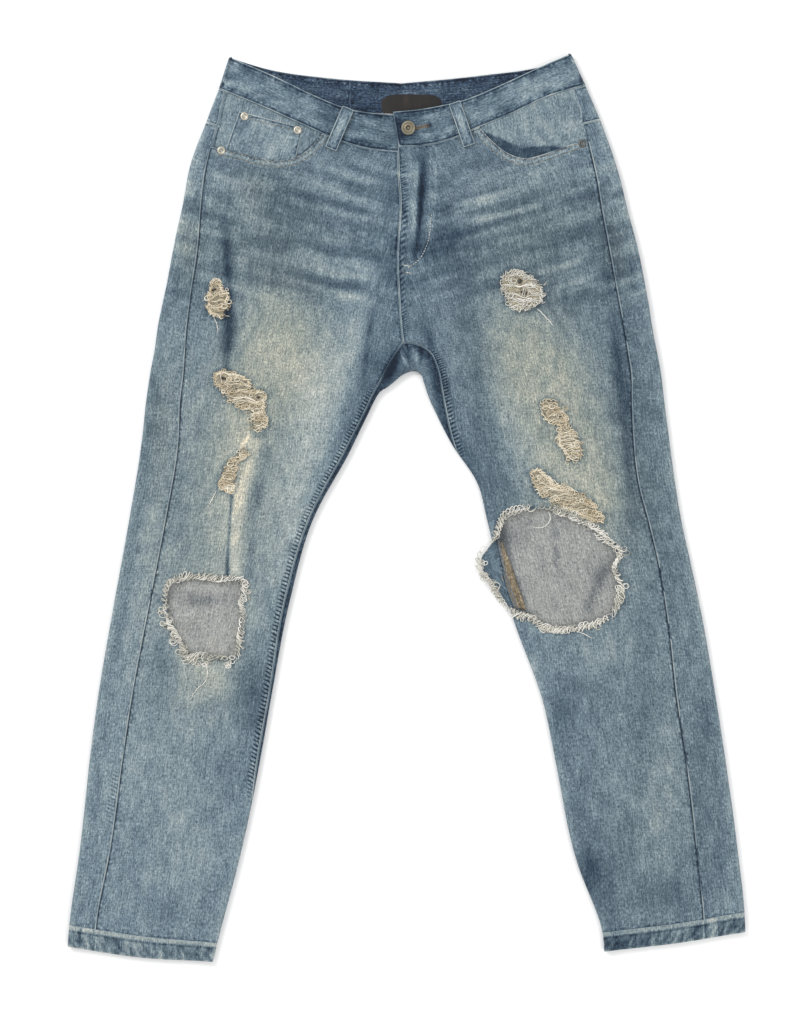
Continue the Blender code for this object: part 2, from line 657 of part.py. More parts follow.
def make_back_pocket(name, x, y, degrees, parts, denim):
    """A five-cornered pocket, sewn flat to the seat."""
    half = POCKET_WIDTH / 2
    foot = -POCKET_HEIGHT / 2
    low = half * POCKET_TAPER
    rise = foot + POCKET_POINT
    corners = ((-half, -foot), (-low, rise), (0, foot), (low, rise), (half, -foot))
    made = flat_outline(name, corners, 0, DENIM, parts, denim)
    made.location.x, made.location.y = x, y
    made.rotation_euler.z = math.radians(degrees)
    return made


def make_label(parts, leather):
    """A blank label on the inside of the back of the waistband."""
    x, y = LABEL_CENTRE
    bpy.ops.mesh.primitive_cube_add(size=1, location=(x, y, LIFT + BAND + GAP + LABEL_THICKNESS / 2))
    return take("label", (*LABEL_SIZE, LABEL_THICKNESS), parts, leather)


def make_zip(parts, metal):
    """The closed zip, behind the fly."""
    grid = [[(x, y, top_height(x, y) - DENIM - GAP)
             for x in np.linspace(-ZIP_HALF_WIDTH, ZIP_HALF_WIDTH, 3) + 0.004]
            for y in np.linspace(ZIP_BOTTOM, ZIP_TOP, 6)]
    return plate("zip", grid, ZIP_THICKNESS, parts, metal)


def turned(name, profile, x, y, z, steps, parts, metal):
    """A turned piece: half a profile, closed on its axis, spun round it."""
    mesh = bpy.data.meshes.new(name)
    mesh.from_pydata([(r, 0, h) for r, h in profile], [], [(i, i + 1) for i in range(len(profile) - 1)])
    mesh.materials.append(metal)
    made = bpy.data.objects.new(name, mesh)
    made.location = (x, y, z)
    screw = made.modifiers.new("turn", "SCREW")
    screw.steps = screw.render_steps = steps
    screw.use_merge_vertices = True
    screw.merge_threshold = 0.00001
    screw.use_normal_calculate = True
    parts.objects.link(made)
    return made


def make_button(parts, brass):
    x, y = BUTTON
    r = BUTTON_RADIUS
    profile = ((0, 0.0040), (r * 0.35, 0.0036), (r * 0.55, 0.0030), (r * 0.85, 0.0034), (r, 0.0026),
               (r * 0.92, 0.0018), (r * 0.45, 0.0014), (r * 0.40, 0), (0, 0))
    return turned("button", profile[::-1], x, y, top_height(x, y) + BAND_PROUD + GAP, 24, parts, brass)


def make_rivet(name, x, y, depth, parts, metal):
    r = RIVET_RADIUS
    profile = ((0, 0.0016), (r * 0.4, 0.0015), (r * 0.8, 0.0010), (r, 0.0003), (r, 0), (0, 0))
    return turned(name, profile[::-1], x, y, top_height(x, y) - depth + GAP, 16, parts, metal)


def mouth_cutter(name, mouth, cutters):
    """A prism over a pocket mouth, from its curve to well over the waist seam."""
    outline = curve(mouth, 13).tolist()
    first, last = mouth[0], mouth[-1]
    out = 0.006 * (-1 if first[0] < 0 else 1)
    outline = ([(first[0] + out, first[1] + 0.001)] + outline[1:]
               + [(last[0], last[1] + MOUTH_RISE), (first[0] + out, MOUTH_END)])
    return prism(name, outline, MOUTH_LOW, CUTTER_TOP, cutters)


def make():
    clear_scene()
    parts = collection("ripped_jeans")
    cutters = collection("cutters", hidden=True)
    denim = finish("denim", (0.19, 0.26, 0.33), 0.85)
    pocket_cloth = finish("pocket_cloth", (0.22, 0.30, 0.36), 0.88)
    leather = finish("label_leather", (0.045, 0.030, 0.025), 0.55)
    brass = finish("antique_brass", (0.32, 0.25, 0.15), 0.38, 1.0)
    nickel = finish("rivet_metal", (0.55, 0.52, 0.45), 0.35, 1.0)

    fronts = {}
    for side, legs, hips, bands in (("right", LEG_RIGHT, HIP_RIGHT, (BAND_FRONT_RIGHT, BAND_BACK_RIGHT)),
                                    ("left", LEG_LEFT, HIP_LEFT, (BAND_FRONT_LEFT, BAND_BACK_LEFT))):
        fronts[side] = make_panels(side, legs, hips, bands, parts, denim)
    cut(fronts["right"], mouth_cutter("pocket_mouth_right", POCKET_MOUTH_RIGHT, cutters))
    cut(fronts["left"], mouth_cutter("pocket_mouth_left", POCKET_MOUTH_LEFT, cutters))
    cut(fronts["right"], prism("knee_hole_right", KNEE_HOLE_RIGHT, KNEE_LOW, CUTTER_TOP, cutters))
    cut(fronts["left"], prism("knee_hole_left", KNEE_HOLE_LEFT, FOLD_RADIUS, CUTTER_TOP, cutters))

    make_waistband(parts, denim)
    make_facing("pocket_facing_right", POCKET_MOUTH_RIGHT, -1, FACING_DEPTH_RIGHT, parts, pocket_cloth)
    make_facing("pocket_facing_left", POCKET_MOUTH_LEFT, 1, FACING_DEPTH_LEFT, parts, pocket_cloth)
    make_coin_pocket(parts, denim)
    for name, ends in LOOPS_FRONT.items():
        make_loop(name, ends, parts, denim)
    for name, ends in LOOPS_BACK.items():
        make_back_loop(name, ends, parts, denim)
    for name, (x, y, degrees) in BACK_POCKETS.items():
        make_back_pocket(name, x, y, degrees, parts, denim)
    make_label(parts, leather)
    make_zip(parts, nickel)
    make_button(parts, brass)
    for name, (x, y) in RIVETS.items():
        make_rivet(name, x, y, COIN_DEPTH if "coin" in name else 0, parts, nickel)


make()
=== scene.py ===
# %% [markdown]
# # Ripped jeans, laid flat
#
# Jeans that lie on a table are two layers of cloth: the fronts on top, the backs underneath, and at each
# side one rounded fold. Everything here is built on that form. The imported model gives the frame: its solids
# have the true sizes, and each finished piece below takes the place of one of them.

# %% Load the frame
import math
from collections import namedtuple
import bmesh
import bpy
import numpy as np
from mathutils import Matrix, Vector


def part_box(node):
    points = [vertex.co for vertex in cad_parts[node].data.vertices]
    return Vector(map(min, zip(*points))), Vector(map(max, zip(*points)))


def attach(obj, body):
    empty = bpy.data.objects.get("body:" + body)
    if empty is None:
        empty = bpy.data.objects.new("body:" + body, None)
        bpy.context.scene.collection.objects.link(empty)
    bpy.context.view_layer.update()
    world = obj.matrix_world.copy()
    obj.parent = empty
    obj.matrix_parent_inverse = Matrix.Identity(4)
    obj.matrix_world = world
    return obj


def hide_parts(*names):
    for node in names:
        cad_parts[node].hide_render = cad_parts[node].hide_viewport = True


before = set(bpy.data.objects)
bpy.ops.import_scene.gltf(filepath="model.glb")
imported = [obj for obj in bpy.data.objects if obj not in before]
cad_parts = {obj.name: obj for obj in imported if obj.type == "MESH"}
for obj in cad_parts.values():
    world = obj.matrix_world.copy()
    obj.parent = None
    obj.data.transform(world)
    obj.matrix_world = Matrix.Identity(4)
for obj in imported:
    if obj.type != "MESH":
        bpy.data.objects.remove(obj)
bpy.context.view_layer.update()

MM = 0.001

# %% [markdown]
# ## How the cloth is cut and how it lies
#
# The same few sizes that the solids were made from, in metres: the wall of the denim, the radius of a
# folded edge, and tables with one row for each section of a leg, each section of a hip, and each station of
# the waistband. Smooth curves through the rows give as many sections as a finer mesh needs.

# %% Sizes and sections
DENIM = 0.0013
BAND = 0.0016
HEM = 0.0020
GAP = 0.0003
FOLD_RADIUS = 0.0035
QUARTER = FOLD_RADIUS * math.pi / 2
SLACK = FOLD_RADIUS * (math.pi / 2 - 1)
LEG_HEIGHT, HIP_HEIGHT = 0.0056, 0.0064
EASE = 0.020
LIFT = DENIM + GAP
LIFT_FROM, LIFT_TO = 0.110, 0.190
BAND_PROUD = 0.0004
UNDERLAP = 0.0026
YOKE_ROW = 4


def rows_of(kind, rows, units=(1000,) * 8):
    """Named rows of a table that is written in millimetres, or with a unit of its own for each column."""
    return tuple(kind(*[value / unit for value, unit in zip(row, units)]) for row in rows)


def places(*points):
    """A line of points that is written in millimetres."""
    return np.array(points, float) / 1000


SIDES = ("right", "left")       # the wearer's
LEG_UNITS = (1000, 1000, 1000, 1000, 1000, 1000, 1, 1000)       # the turn of an inner fold is in degrees
Leg = namedtuple("Leg", "outer_x outer_y inner_x inner_y outseam inseam turn sag")
LEGS = {
    "right": rows_of(Leg, (
        (-396, -512, -226, -530, 33, -8, 0, 4), (-394, -488, -221, -509, 32, -8, 0, 3),
        (-381, -394, -194, -406, 36, -5, 0, 0), (-368, -277, -169, -285, 39, 3.5, 0, 0),
        (-361, -225, -159, -228, 40, 3, 0, 0), (-341, -108, -136, -108, 42, 6, 0, 0),
        (-324, -14, -110, -16, 43, 5, 0, 0), (-309, 80, -66, 66, 43, 6, 0, 0),
        (-304, 126, -46, 107, 40, 5, 0, 0), (-299, 159, -32, 134, 39, 6, 5, 0),
        (-294, 185, -22, 141, 36, 11, 30, 0), (-290, 214, -12, 149, 34, 18, 42, 0),
        (-285, 238, -3, 156, 32, 26, 52, 0), (-280, 261, 5.5, 159.5, 30, 35, 55, 0)), LEG_UNITS),
    "left": rows_of(Leg, (
        (396, -495, 231, -518, 49, -10, 0, 2), (395, -473, 229, -497, 49, -10, 0, 2),
        (387, -400, 199, -414, 48, -10, 0, 0), (371, -283, 173, -291, 46, -10, 0, 0),
        (362, -225, 160, -229, 46, -10, 0, 0), (346, -131, 125, -131, 41, -11, 0, 0),
        (332, -64, 107, -67, 38, -8, 0, 0), (321, -14, 94, -14, 39, -9, 0, 0),
        (314, 28, 83, 28, 43, -7, 0, 0), (307, 80, 52, 76, 42, 3, 0, 0), (301, 126, 28, 124, 38, 16, 0, 0),
        (297, 159, 20, 146, 35, 20, 12, 0), (292, 185, 17, 155, 34, 22, 30, 0),
        (287, 211, 12, 159, 33, 28, 50, 0), (283, 238, 5.5, 159.5, 34, 35, 90, 0)), LEG_UNITS),
}
Hip = namedtuple("Hip", "outer_x outer_y front_x front_y back_x back_y outseam")
HIPS = {
    "right": rows_of(Hip, (
        (-280, 261, -4, 193, 4.5, 163, 30), (-270, 314, -8, 240, 4, 215, 28),
        (-261, 355, -10, 290, 2, 270, 22), (-253, 398, -7, 345, 0, 335, 19),
        (-234, 450, -9, 388, -4, 398, 14), (-219, 489, -10, 416, -6, 457, 8))),
    "left": rows_of(Hip, (
        (283, 238, -4, 193, 4.5, 163, 34), (269, 308, -8, 240, 4, 215, 33), (259, 345, -10, 290, 2, 270, 30),
        (249, 386, -7, 345, 0, 335, 27), (226, 453, -9, 392, -4, 398, 20),
        (209, 493, -10, 421.5, -6, 457, 14))),
}
Station = namedtuple("Station", "lower_x lower_y upper_x upper_y")
BAND_FRONT = {
    "right": rows_of(Station, (
        (-219, 489, -207, 526), (-170, 469, -157, 505), (-125, 449, -109, 482), (-85, 431, -72, 467),
        (-45, 419, -41, 461), (-10, 416, -12, 459))),
    "left": rows_of(Station, (
        (209, 493, 192, 530), (165, 480, 150, 512), (125, 461, 111, 494), (82, 443, 70, 477),
        (48, 429, 43, 470), (18, 422.5, 14, 465), (-10, 421.5, -17, 462))),
}
BAND_END = Station(0.026, 0.419, 0.024, 0.461)
BAND_BACK = {
    "right": rows_of(Station, (
        (-219, 489, -207, 526), (-170, 474, -160, 512), (-98, 463, -90, 502), (-6, 457, -6, 496))),
    "left": rows_of(Station, (
        (209, 493, 192, 530), (172, 479, 162, 517), (92, 466, 86, 505), (-6, 457, -6, 496))),
}
print("sections given:", {side: len(rows) for side, rows in LEGS.items()})

# %% [markdown]
# ## Curves through a table
#
# A cubic curve through the rows keeps every row and bends smoothly between them. Working on whole arrays of
# points at once, as NumPy does, keeps a mesh of a million points quick.

# %% Curves
def smoothstep(low, high, value):
    share = np.clip((value - low) / (high - low), 0, 1)
    return share * share * (3 - 2 * share)


def bell(value, width):
    """From 1 where a value is 0, smoothly down to nothing a few widths away."""
    return np.exp(-((value / width) ** 2))


def knots_of(table):
    """How far along its first two columns, which are a point, each row of a table lies."""
    steps = np.linalg.norm(np.diff(np.array(table, float)[:, :2], axis=0), axis=1)
    return np.concatenate([[0], np.cumsum(steps)])


def spline(table, knots, at):
    """The rows of a table joined by a smooth curve: its values at places along the knots."""
    rows = np.array(table, float)
    slopes = np.gradient(rows, knots, axis=0)
    at = np.atleast_1d(at)
    i = np.clip(np.searchsorted(knots, at, "right") - 1, 0, len(knots) - 2)
    span = (knots[i + 1] - knots[i])[:, None]
    f = (at - knots[i])[:, None] / span
    return ((2 * f**3 - 3 * f**2 + 1) * rows[i] + (f**3 - 2 * f**2 + f) * span * slopes[i]
            + (3 * f**2 - 2 * f**3) * rows[i + 1] + (f**3 - f**2) * span * slopes[i + 1])


def curve(points, count):
    """Evenly spaced points on a smooth curve through a few."""
    knots = knots_of(points)
    return spline(points, knots, np.linspace(0, knots[-1], count))


def lengths_along(path):
    return np.concatenate([[0], np.cumsum(np.linalg.norm(np.diff(path, axis=0), axis=1))])


def along(path, distance):
    """The points this far along a line of points."""
    ends = lengths_along(path)
    return np.stack([np.interp(distance, ends, path[:, i]) for i in range(path.shape[1])], -1)


def distance_to_line(x, y, line):
    """Distance of points to a line of points, and how far along it the nearest place is."""
    x, y = np.asarray(x, float), np.asarray(y, float)
    best, where = np.full(x.shape, 1e9), np.zeros(x.shape)
    starts, ends = line[:-1], line[1:]
    ends_along = lengths_along(line)
    for (x1, y1), (x2, y2), done in zip(starts, ends, ends_along):
        run, rise = x2 - x1, y2 - y1
        size = math.hypot(run, rise)
        share = np.clip(((x - x1) * run + (y - y1) * rise) / (size * size), 0, 1)
        away = np.hypot(x - x1 - share * run, y - y1 - share * rise)
        nearer = away < best
        best[nearer] = away[nearer]
        where[nearer] = (done + share * size)[nearer]
    return best, where


def noise(x, y, size, seed=0):
    """Smooth seeded noise from -1 to 1, whose lumps are about this size."""
    u, v = np.asarray(x) / size + seed * 17.31, np.asarray(y) / size - seed * 9.17
    i, j = np.floor(u).astype(np.int64), np.floor(v).astype(np.int64)

    def corner(a, b):
        mixed = (a * 374761393 + b * 668265263 + seed * 974711) & 0xFFFFFFFF
        mixed = ((mixed ^ (mixed >> 13)) * 1274126177) & 0xFFFFFFFF
        return ((mixed ^ (mixed >> 16)) & 0xFFFF) / 32767.5 - 1

    fu, fv = u - i, v - j
    fu, fv = fu * fu * (3 - 2 * fu), fv * fv * (3 - 2 * fv)
    low = corner(i, j) * (1 - fu) + corner(i + 1, j) * fu
    high = corner(i, j + 1) * (1 - fu) + corner(i + 1, j + 1) * fu
    return low * (1 - fv) + high * fv


def clouds(x, y, size, seed, octaves=3):
    """Noise with finer and finer lumps on it."""
    total = sum(noise(x, y, size / 2**k, seed + k) / 2**k for k in range(octaves))
    return total / (2 - 2 / 2**octaves)


EDGES = []
for side, legs in LEGS.items():
    EDGES.append(np.concatenate([curve(legs, 70)[:, :2], curve(HIPS[side], 24)[1:, :2]]))
    EDGES.append(curve(legs, 70)[:, 2:4])


def distance_to_edge(x, y):
    return np.min([distance_to_line(x, y, line)[0] for line in EDGES], axis=0)

# %% [markdown]
# ## Folds of the cloth
#
# Cloth on a table is never flat. Wide soft waves run down each leg, short ones gather at the crotch and
# behind the knees. Each fold here is a line of a few points with a width and a height, and the top layer's
# height is the sum of them. A trough has a height below zero.

# %% Folds
Fold = namedtuple("Fold", "line width height")


def lines_of(kind, rows, units=(1000, 1000)):
    """Named rows of a table that starts each with a line of points in millimetres."""
    return [kind(places(*line), *[value / unit for value, unit in zip(values, units)])
            for line, *values in rows]


TOP_FOLDS = lines_of(Fold, (
    (((-214, 318), (-210, 240), (-208, 160)), 10, -1.6), (((-230, 300), (-228, 200), (-236, 120)), 12, 1.2),
    (((-199, 80), (-203, 0), (-198, -76)), 9, 2.6), (((-180, 70), (-183, 0), (-178, -70)), 8, -1.4),
    (((-31, 255), (-46, 190), (-50, 140)), 9, -1.8), (((16, 232), (36, 170), (57, 110)), 9, -1.8),
    (((0, 225), (20, 160), (45, 110)), 6, 1), (((226, 314), (250, 150), (264, -20)), 13, -1.4),
    (((171, 214), (171, 120)), 9, 2), (((158, 214), (159, 120)), 6, -0.8), (((4, 420), (4, 300)), 18, 1.4),
    (((17, 415), (16, 330), (9, 286)), 5, -1.2), (((-142, 372), (-105, 352), (-72, 337)), 8, 0.9),
    (((-160, 331), (-95, 318), (-31, 308)), 8, 1), (((-125, 296), (-75, 286), (-25, 255)), 8, 1),
    (((51, 378), (98, 395)), 7, 0.9), (((57, 343), (133, 360)), 8, 1), (((110, 325), (180, 343)), 8, 0.9),
    (((162, 278), (215, 302)), 9, 1), (((-290, -150), (-240, -190), (-190, -200)), 10, 1.2),
    (((-330, -230), (-260, -240), (-200, -220)), 14, -1.2),
    (((-280, -330), (-250, -420), (-262, -500)), 16, 1.3),
    (((-330, -300), (-318, -400), (-330, -500)), 14, -1.1),
    (((250, -170), (200, -190), (160, -182)), 11, 1.2), (((330, -220), (270, -235), (200, -240)), 13, -1.1),
    (((276, -300), (292, -400), (310, -500)), 16, 1.3), (((330, -280), (346, -380), (356, -480)), 13, -1.1),
    (((110, 100), (140, 40), (130, 0)), 10, 1), (((210, 100), (225, 20), (240, -30)), 10, 1.2)))
UNDER_FOLDS = lines_of(Fold, (
    (((-262, -60), (-250, -110), (-246, -180)), 10, 1.4), (((-222, -60), (-218, -110), (-226, -180)), 7, 0.8),
    (((172, 0), (173, -45), (171, -84)), 4, 1.2), (((226, -60), (213, -100), (206, -130)), 6, 1.1),
    (((-150, 250), (-120, 180), (-70, 130)), 14, 1.2), (((150, 250), (110, 180), (60, 130)), 14, 1.2),
    (((-330, -60), (-260, -30), (-180, -50)), 10, 1.1), (((-330, -110), (-270, -130), (-200, -110)), 10, 1.1),
    (((330, -50), (260, -30), (160, -40)), 10, 1.1), (((330, -120), (270, -100), (190, -120)), 10, 1.1),
    (((-300, -300), (-290, -420), (-310, -500)), 16, 1), (((300, -280), (310, -400), (330, -490)), 16, 1)))
RIPPLE, RIPPLE_SIZE = 0.0005, 0.034


def relief(x, y, folds, seed):
    """Sum of the folds at points, and the slow unevenness of the cloth between them."""
    raised = RIPPLE * clouds(x, y, RIPPLE_SIZE, seed)
    for fold in folds:
        line = curve(fold.line, 9)
        reach = 3 * fold.width
        near = ((x > line[:, 0].min() - reach) & (x < line[:, 0].max() + reach)
                & (y > line[:, 1].min() - reach) & (y < line[:, 1].max() + reach))
        if near.any():
            away, where = distance_to_line(x[near], y[near], line)
            length = lengths_along(line)[-1]
            ends = smoothstep(0, 0.3 * length, where) * smoothstep(0, 0.3 * length, length - where)
            wobble = fold.width * (1 + 0.35 * noise(x[near], y[near], 0.03, seed + 5))
            raised[near] += fold.height * (0.25 + 0.75 * ends) * bell(away, wobble)
    return raised


def floor_height(y):
    """Height that the underside starts from: the seat lies on its pockets and loops."""
    return LIFT * smoothstep(LIFT_FROM, LIFT_TO, y)


def settled_share(x, y):
    """From 0 at a folded edge to 1 where the cloth has settled."""
    return smoothstep(FOLD_RADIUS, FOLD_RADIUS + EASE, distance_to_edge(x, y))


def under_height(x, y):
    """Height of the outer face of the layer underneath."""
    return floor_height(y) + np.maximum(relief(x, y, UNDER_FOLDS, 3), 0) * settled_share(x, y)


def top_height(x, y):
    """Height of the top layer's outer face."""
    x, y = np.asarray(x, float), np.asarray(y, float)
    inside = settled_share(x, y)
    thick = LEG_HEIGHT + (HIP_HEIGHT - LEG_HEIGHT) * smoothstep(LIFT_FROM, LIFT_TO, y)
    return floor_height(y) + 2 * FOLD_RADIUS * (1 - inside) + (thick + relief(x, y, TOP_FOLDS, 1)) * inside


MAP_CELL = 0.0025
MAP_X, MAP_Y = np.arange(-0.42, 0.42, MAP_CELL), np.arange(-0.56, 0.56, MAP_CELL)
HEIGHT_MAP = top_height(*np.meshgrid(MAP_X, MAP_Y))


def quick_height(x, y):
    """The same height looked up in a map of it, for the thousands of short lines of thread."""
    u, v = (np.asarray(x) - MAP_X[0]) / MAP_CELL, (np.asarray(y) - MAP_Y[0]) / MAP_CELL
    i, j = u.astype(int), v.astype(int)
    fu, fv = u - i, v - j
    low = HEIGHT_MAP[j, i] * (1 - fu) + HEIGHT_MAP[j, i + 1] * fu
    high = HEIGHT_MAP[j + 1, i] * (1 - fu) + HEIGHT_MAP[j + 1, i + 1] * fu
    return low * (1 - fv) + high * fv


print("height of the two thighs, mm:", np.round(quick_height(np.array([-0.25, 0.25]), np.zeros(2)) / MM, 2))

# %% [markdown]
# ## Rings of cloth
#
# A section across a leg is one flattened ring. A place on it is the distance from the outer fold, over the
# top if it is above zero and underneath if it is below, so both panels and the folds between them come from
# one formula, and the pattern of the cloth can follow the same distances.

# %% Rings
PATH_POINTS = 25
LEAST_KNEE = FOLD_RADIUS + 0.001


class Ring:
    def __init__(self, top, under, folds):
        self.top, self.under, self.folds = np.array(top), np.array(under), folds
        self.top_length = lengths_along(self.top)[-1] + folds * SLACK
        self.under_length = lengths_along(self.under)[-1] + folds * SLACK

    def lay(self, places):
        """Where places lie from above, whether each is in the top layer, and its turn round a fold."""
        places = np.asarray(places, float)
        over = places >= 0
        length = np.where(over, self.top_length, self.under_length)
        from_outer = (np.abs(places) < length / 2) | (self.folds == 1)
        reach = np.where(from_outer, np.abs(places), length - np.abs(places))
        over = over ^ (reach < 0)
        reach = np.abs(reach)
        angle = np.minimum(reach / FOLD_RADIUS, math.pi / 2)
        inward = FOLD_RADIUS * (1 - np.cos(angle)) + np.maximum(0, reach - QUARTER)
        flat = np.zeros((len(places), 2))
        for layer, path in ((True, self.top), (False, self.under)):
            for start in (True, False):
                chosen = (over == layer) & (from_outer == start)
                flat[chosen] = along(path if start else path[::-1], inward[chosen])
        return flat, over, angle


def arc_of(flat):
    """Distance over the surface from a fold to a place this far in from it. Below zero is underneath."""
    size = abs(flat)
    arc = size + SLACK if size >= FOLD_RADIUS else FOLD_RADIUS * math.acos(1 - size / FOLD_RADIUS)
    return math.copysign(arc, flat)


def leg_ring(side, at):
    """The ring of a leg this far up it, with its seams' places on it."""
    row = Leg(*spline(LEGS[side], knots_of(LEGS[side]), at)[0])
    outer = np.array([row.outer_x, row.outer_y])
    inner = np.array([row.inner_x + math.copysign(GAP, row.outer_x) / 2, row.inner_y])
    across = (outer - inner) / np.linalg.norm(outer - inner)
    turn = math.radians(row.turn) * (-1 if outer[0] < inner[0] else 1)
    swung = np.array([across[0] * math.cos(turn) - across[1] * math.sin(turn),
                      across[0] * math.sin(turn) + across[1] * math.cos(turn)])
    sag = np.array([0, row.sag])
    paths = []
    for reach in (max(row.inseam, LEAST_KNEE), LEAST_KNEE):
        knee = inner + swung * reach
        paths.append(np.concatenate([curve([outer, (outer + knee) / 2 - sag, knee], PATH_POINTS), [inner]]))
    ring = Ring(*paths, 2)
    ring.outseam = arc_of(row.outseam)
    ring.front_end = ring.top_length - arc_of(row.inseam)
    ring.back_end = ring.under_length + arc_of(row.inseam)
    return ring


def hip_ring(side, at):
    """The ring of a hip this far up from the crotch. Its waist end takes the bend of the waistband's seam."""
    knots = knots_of(HIPS[side])
    row = Hip(*spline(HIPS[side], knots, at)[0])
    ends = Hip(*HIPS[side][-1])
    share = (at / knots[-1]) ** 2
    paths = []
    for band, x, y, end_x, end_y in ((BAND_FRONT[side], row.front_x, row.front_y, ends.front_x, ends.front_y),
                                     (BAND_BACK[side], row.back_x, row.back_y, ends.back_x, ends.back_y)):
        seam = curve([station[:2] for station in band], PATH_POINTS)
        chord = np.linspace((ends.outer_x, ends.outer_y), (end_x, end_y), PATH_POINTS)
        paths.append(np.linspace((row.outer_x, row.outer_y), (x, y), PATH_POINTS) + share * (seam - chord))
    ring = Ring(*paths, 1)
    ring.outseam = arc_of(row.outseam)
    ring.front_end = ring.top_length
    ring.back_end = ring.under_length
    return ring


print("a thigh's ring, mm:", round(2 * leg_ring("left", 0.5).top_length / MM), "round at half height")

# %% [markdown]
# ## A piece of cloth
#
# Each cut piece is a mesh of one face only, with a pattern place for each of its points in metres (how far
# across the cloth, how far along it), and values painted on the points. Solidify then gives it its wall,
# and its inner face may have another finish, as the wrong side of denim does.

# %% Cloth pieces
CLOTHS, PIECES = {}, {}     # the cut of each sewn piece, and its object
NO_SEAM = 50.0              # millimetres: too far from a seam or a tear for it to show
PLAIN = {"wash": 0, "warm": 0, "seam": NO_SEAM, "stitch": NO_SEAM, "torn": NO_SEAM, "ladder": 0}


class Cloth:
    def __init__(self, points, faces, pattern, **paint):
        self.points, self.faces, self.pattern = points, faces, pattern
        none = np.zeros(len(points))
        self.paint = {key: none + np.ravel(paint.get(key, plain)) for key, plain in PLAIN.items()}


def grid_faces(widths, flip):
    """The faces of rows of points, which may have fewer columns further on."""
    starts = np.concatenate([[0], np.cumsum(widths)])
    faces = []
    for i in range(len(widths) - 1):
        j = np.arange(min(widths[i], widths[i + 1]) - 1)
        low, high = starts[i] + j, starts[i + 1] + j
        ring = [low, low + 1, high + 1, high]
        faces += np.stack(ring[::-1] if flip else ring, -1).tolist()
    return faces


def clipped(cloth, field):
    """The part of a cloth where a value given for each point is above zero, cut cleanly where it is zero."""
    arrays = [cloth.points, cloth.pattern] + [value[:, None] for value in cloth.paint.values()]
    rows = np.concatenate(arrays, axis=1)
    field = np.where(np.abs(field) < 1e-6, 1e-6, field)
    made, added, faces = {}, [], []
    for face in cloth.faces:
        signs = [field[i] > 0 for i in face]
        if all(signs):
            faces.append(face)
        elif any(signs):
            kept = []
            for a, b in zip(face, face[1:] + face[:1]):
                if field[a] > 0:
                    kept.append(a)
                if (field[a] > 0) != (field[b] > 0):
                    key = (min(a, b), max(a, b))
                    if key not in made:
                        share = field[key[0]] / (field[key[0]] - field[key[1]])
                        made[key] = len(rows) + len(added)
                        added.append(rows[key[0]] + (rows[key[1]] - rows[key[0]]) * share)
                    kept.append(made[key])
            faces.append(kept)
    if added:
        rows = np.concatenate([rows, np.array(added)])
    used = np.unique(np.concatenate([np.array(face) for face in faces]))
    renumber = np.full(len(rows), -1)
    renumber[used] = np.arange(len(used))
    faces = [renumber[face].tolist() for face in faces]
    rows = rows[used]
    paint = {key: rows[:, 5 + i] for i, key in enumerate(cloth.paint)}
    return Cloth(rows[:, :3], faces, rows[:, 3:5], **paint)


def signed_distance(x, y, outline):
    """Distance to a closed outline, below zero inside it."""
    ring = np.concatenate([outline, outline[:1]])
    away = distance_to_line(x, y, ring)[0]
    inside = np.zeros(np.shape(x), bool)
    for (x1, y1), (x2, y2) in zip(ring[:-1], ring[1:]):
        if y1 != y2:
            crosses = (y1 > y) != (y2 > y)
            inside ^= crosses & (x < x1 + (y - y1) * (x2 - x1) / (y2 - y1))
    return np.where(inside, -away, away)


def rounded(outline, count):
    """A smooth closed outline through a few points."""
    ring = np.concatenate([outline, outline[:3]])
    knots = knots_of(ring)
    return spline(ring, knots, np.linspace(knots[1], knots[len(outline) + 1], count + 1))[:-1]


def ride_for(made, name):
    """The piece rides on the one body, and stands for the solid of its name where there is one."""
    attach(made, "root")
    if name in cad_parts:
        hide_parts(name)


def make_object(name, points, faces, materials):
    """A smooth mesh object at the origin, which rides on the body."""
    mesh = bpy.data.meshes.new(name)
    mesh.from_pydata(np.asarray(points, float).tolist(), [], faces)
    for material in materials:
        mesh.materials.append(material)
    mesh.shade_smooth()
    made = bpy.data.objects.new(name, mesh)
    bpy.context.scene.collection.objects.link(made)
    ride_for(made, name)
    return made


def sewn(name, cloth, wall, materials, inner=0):
    """A piece of cloth with its wall. inner says how many places on in the materials its inner face takes."""
    made = make_object(name, cloth.points, cloth.faces, materials)
    mesh = made.data
    corners = np.empty(len(mesh.loops), np.int32)
    mesh.loops.foreach_get("vertex_index", corners)
    layer = mesh.uv_layers.new(name="pattern")
    layer.data.foreach_set("uv", cloth.pattern[corners].astype(np.float32).ravel())
    for key, value in cloth.paint.items():
        mesh.attributes.new(key, "FLOAT", "POINT").data.foreach_set("value", value.astype(np.float32))
    solidify = made.modifiers.new("wall", "SOLIDIFY")
    solidify.thickness = wall
    solidify.offset = -1
    solidify.material_offset = inner
    CLOTHS.setdefault(name, cloth)
    PIECES[name] = made
    print(f"{name}: {len(cloth.points)} points, {len(cloth.faces)} faces")
    return made

# %% [markdown]
# ## The colours of worn denim
#
# Denim is woven from an indigo warp and a white weft, so its colour runs along one line from deep blue to
# cream as the dye is washed and sanded off. One ramp holds that line. A value painted on the cloth says
# where on it a place lies, and noise at three scales breaks it up: clouds from the wash, streaks along the
# warp, and the grain of the single yarns.

# %% Colours
LAMPS = 1.10            # what a level white surface gets from the lamps below


def dyed(red, green, blue):
    """A colour given as it is seen, 0 to 255, as the linear one that shows so under the lamps."""
    linear = [c / 255 / 12.92 if c <= 10 else ((c / 255 + 0.055) / 1.055) ** 2.4 for c in (red, green, blue)]
    return (*[c / LAMPS for c in linear], 1)


def dyes(*rows):
    """A ramp's stops from a place on it and the three values of its colour."""
    return [(position, dyed(*colour)) for position, *colour in rows]


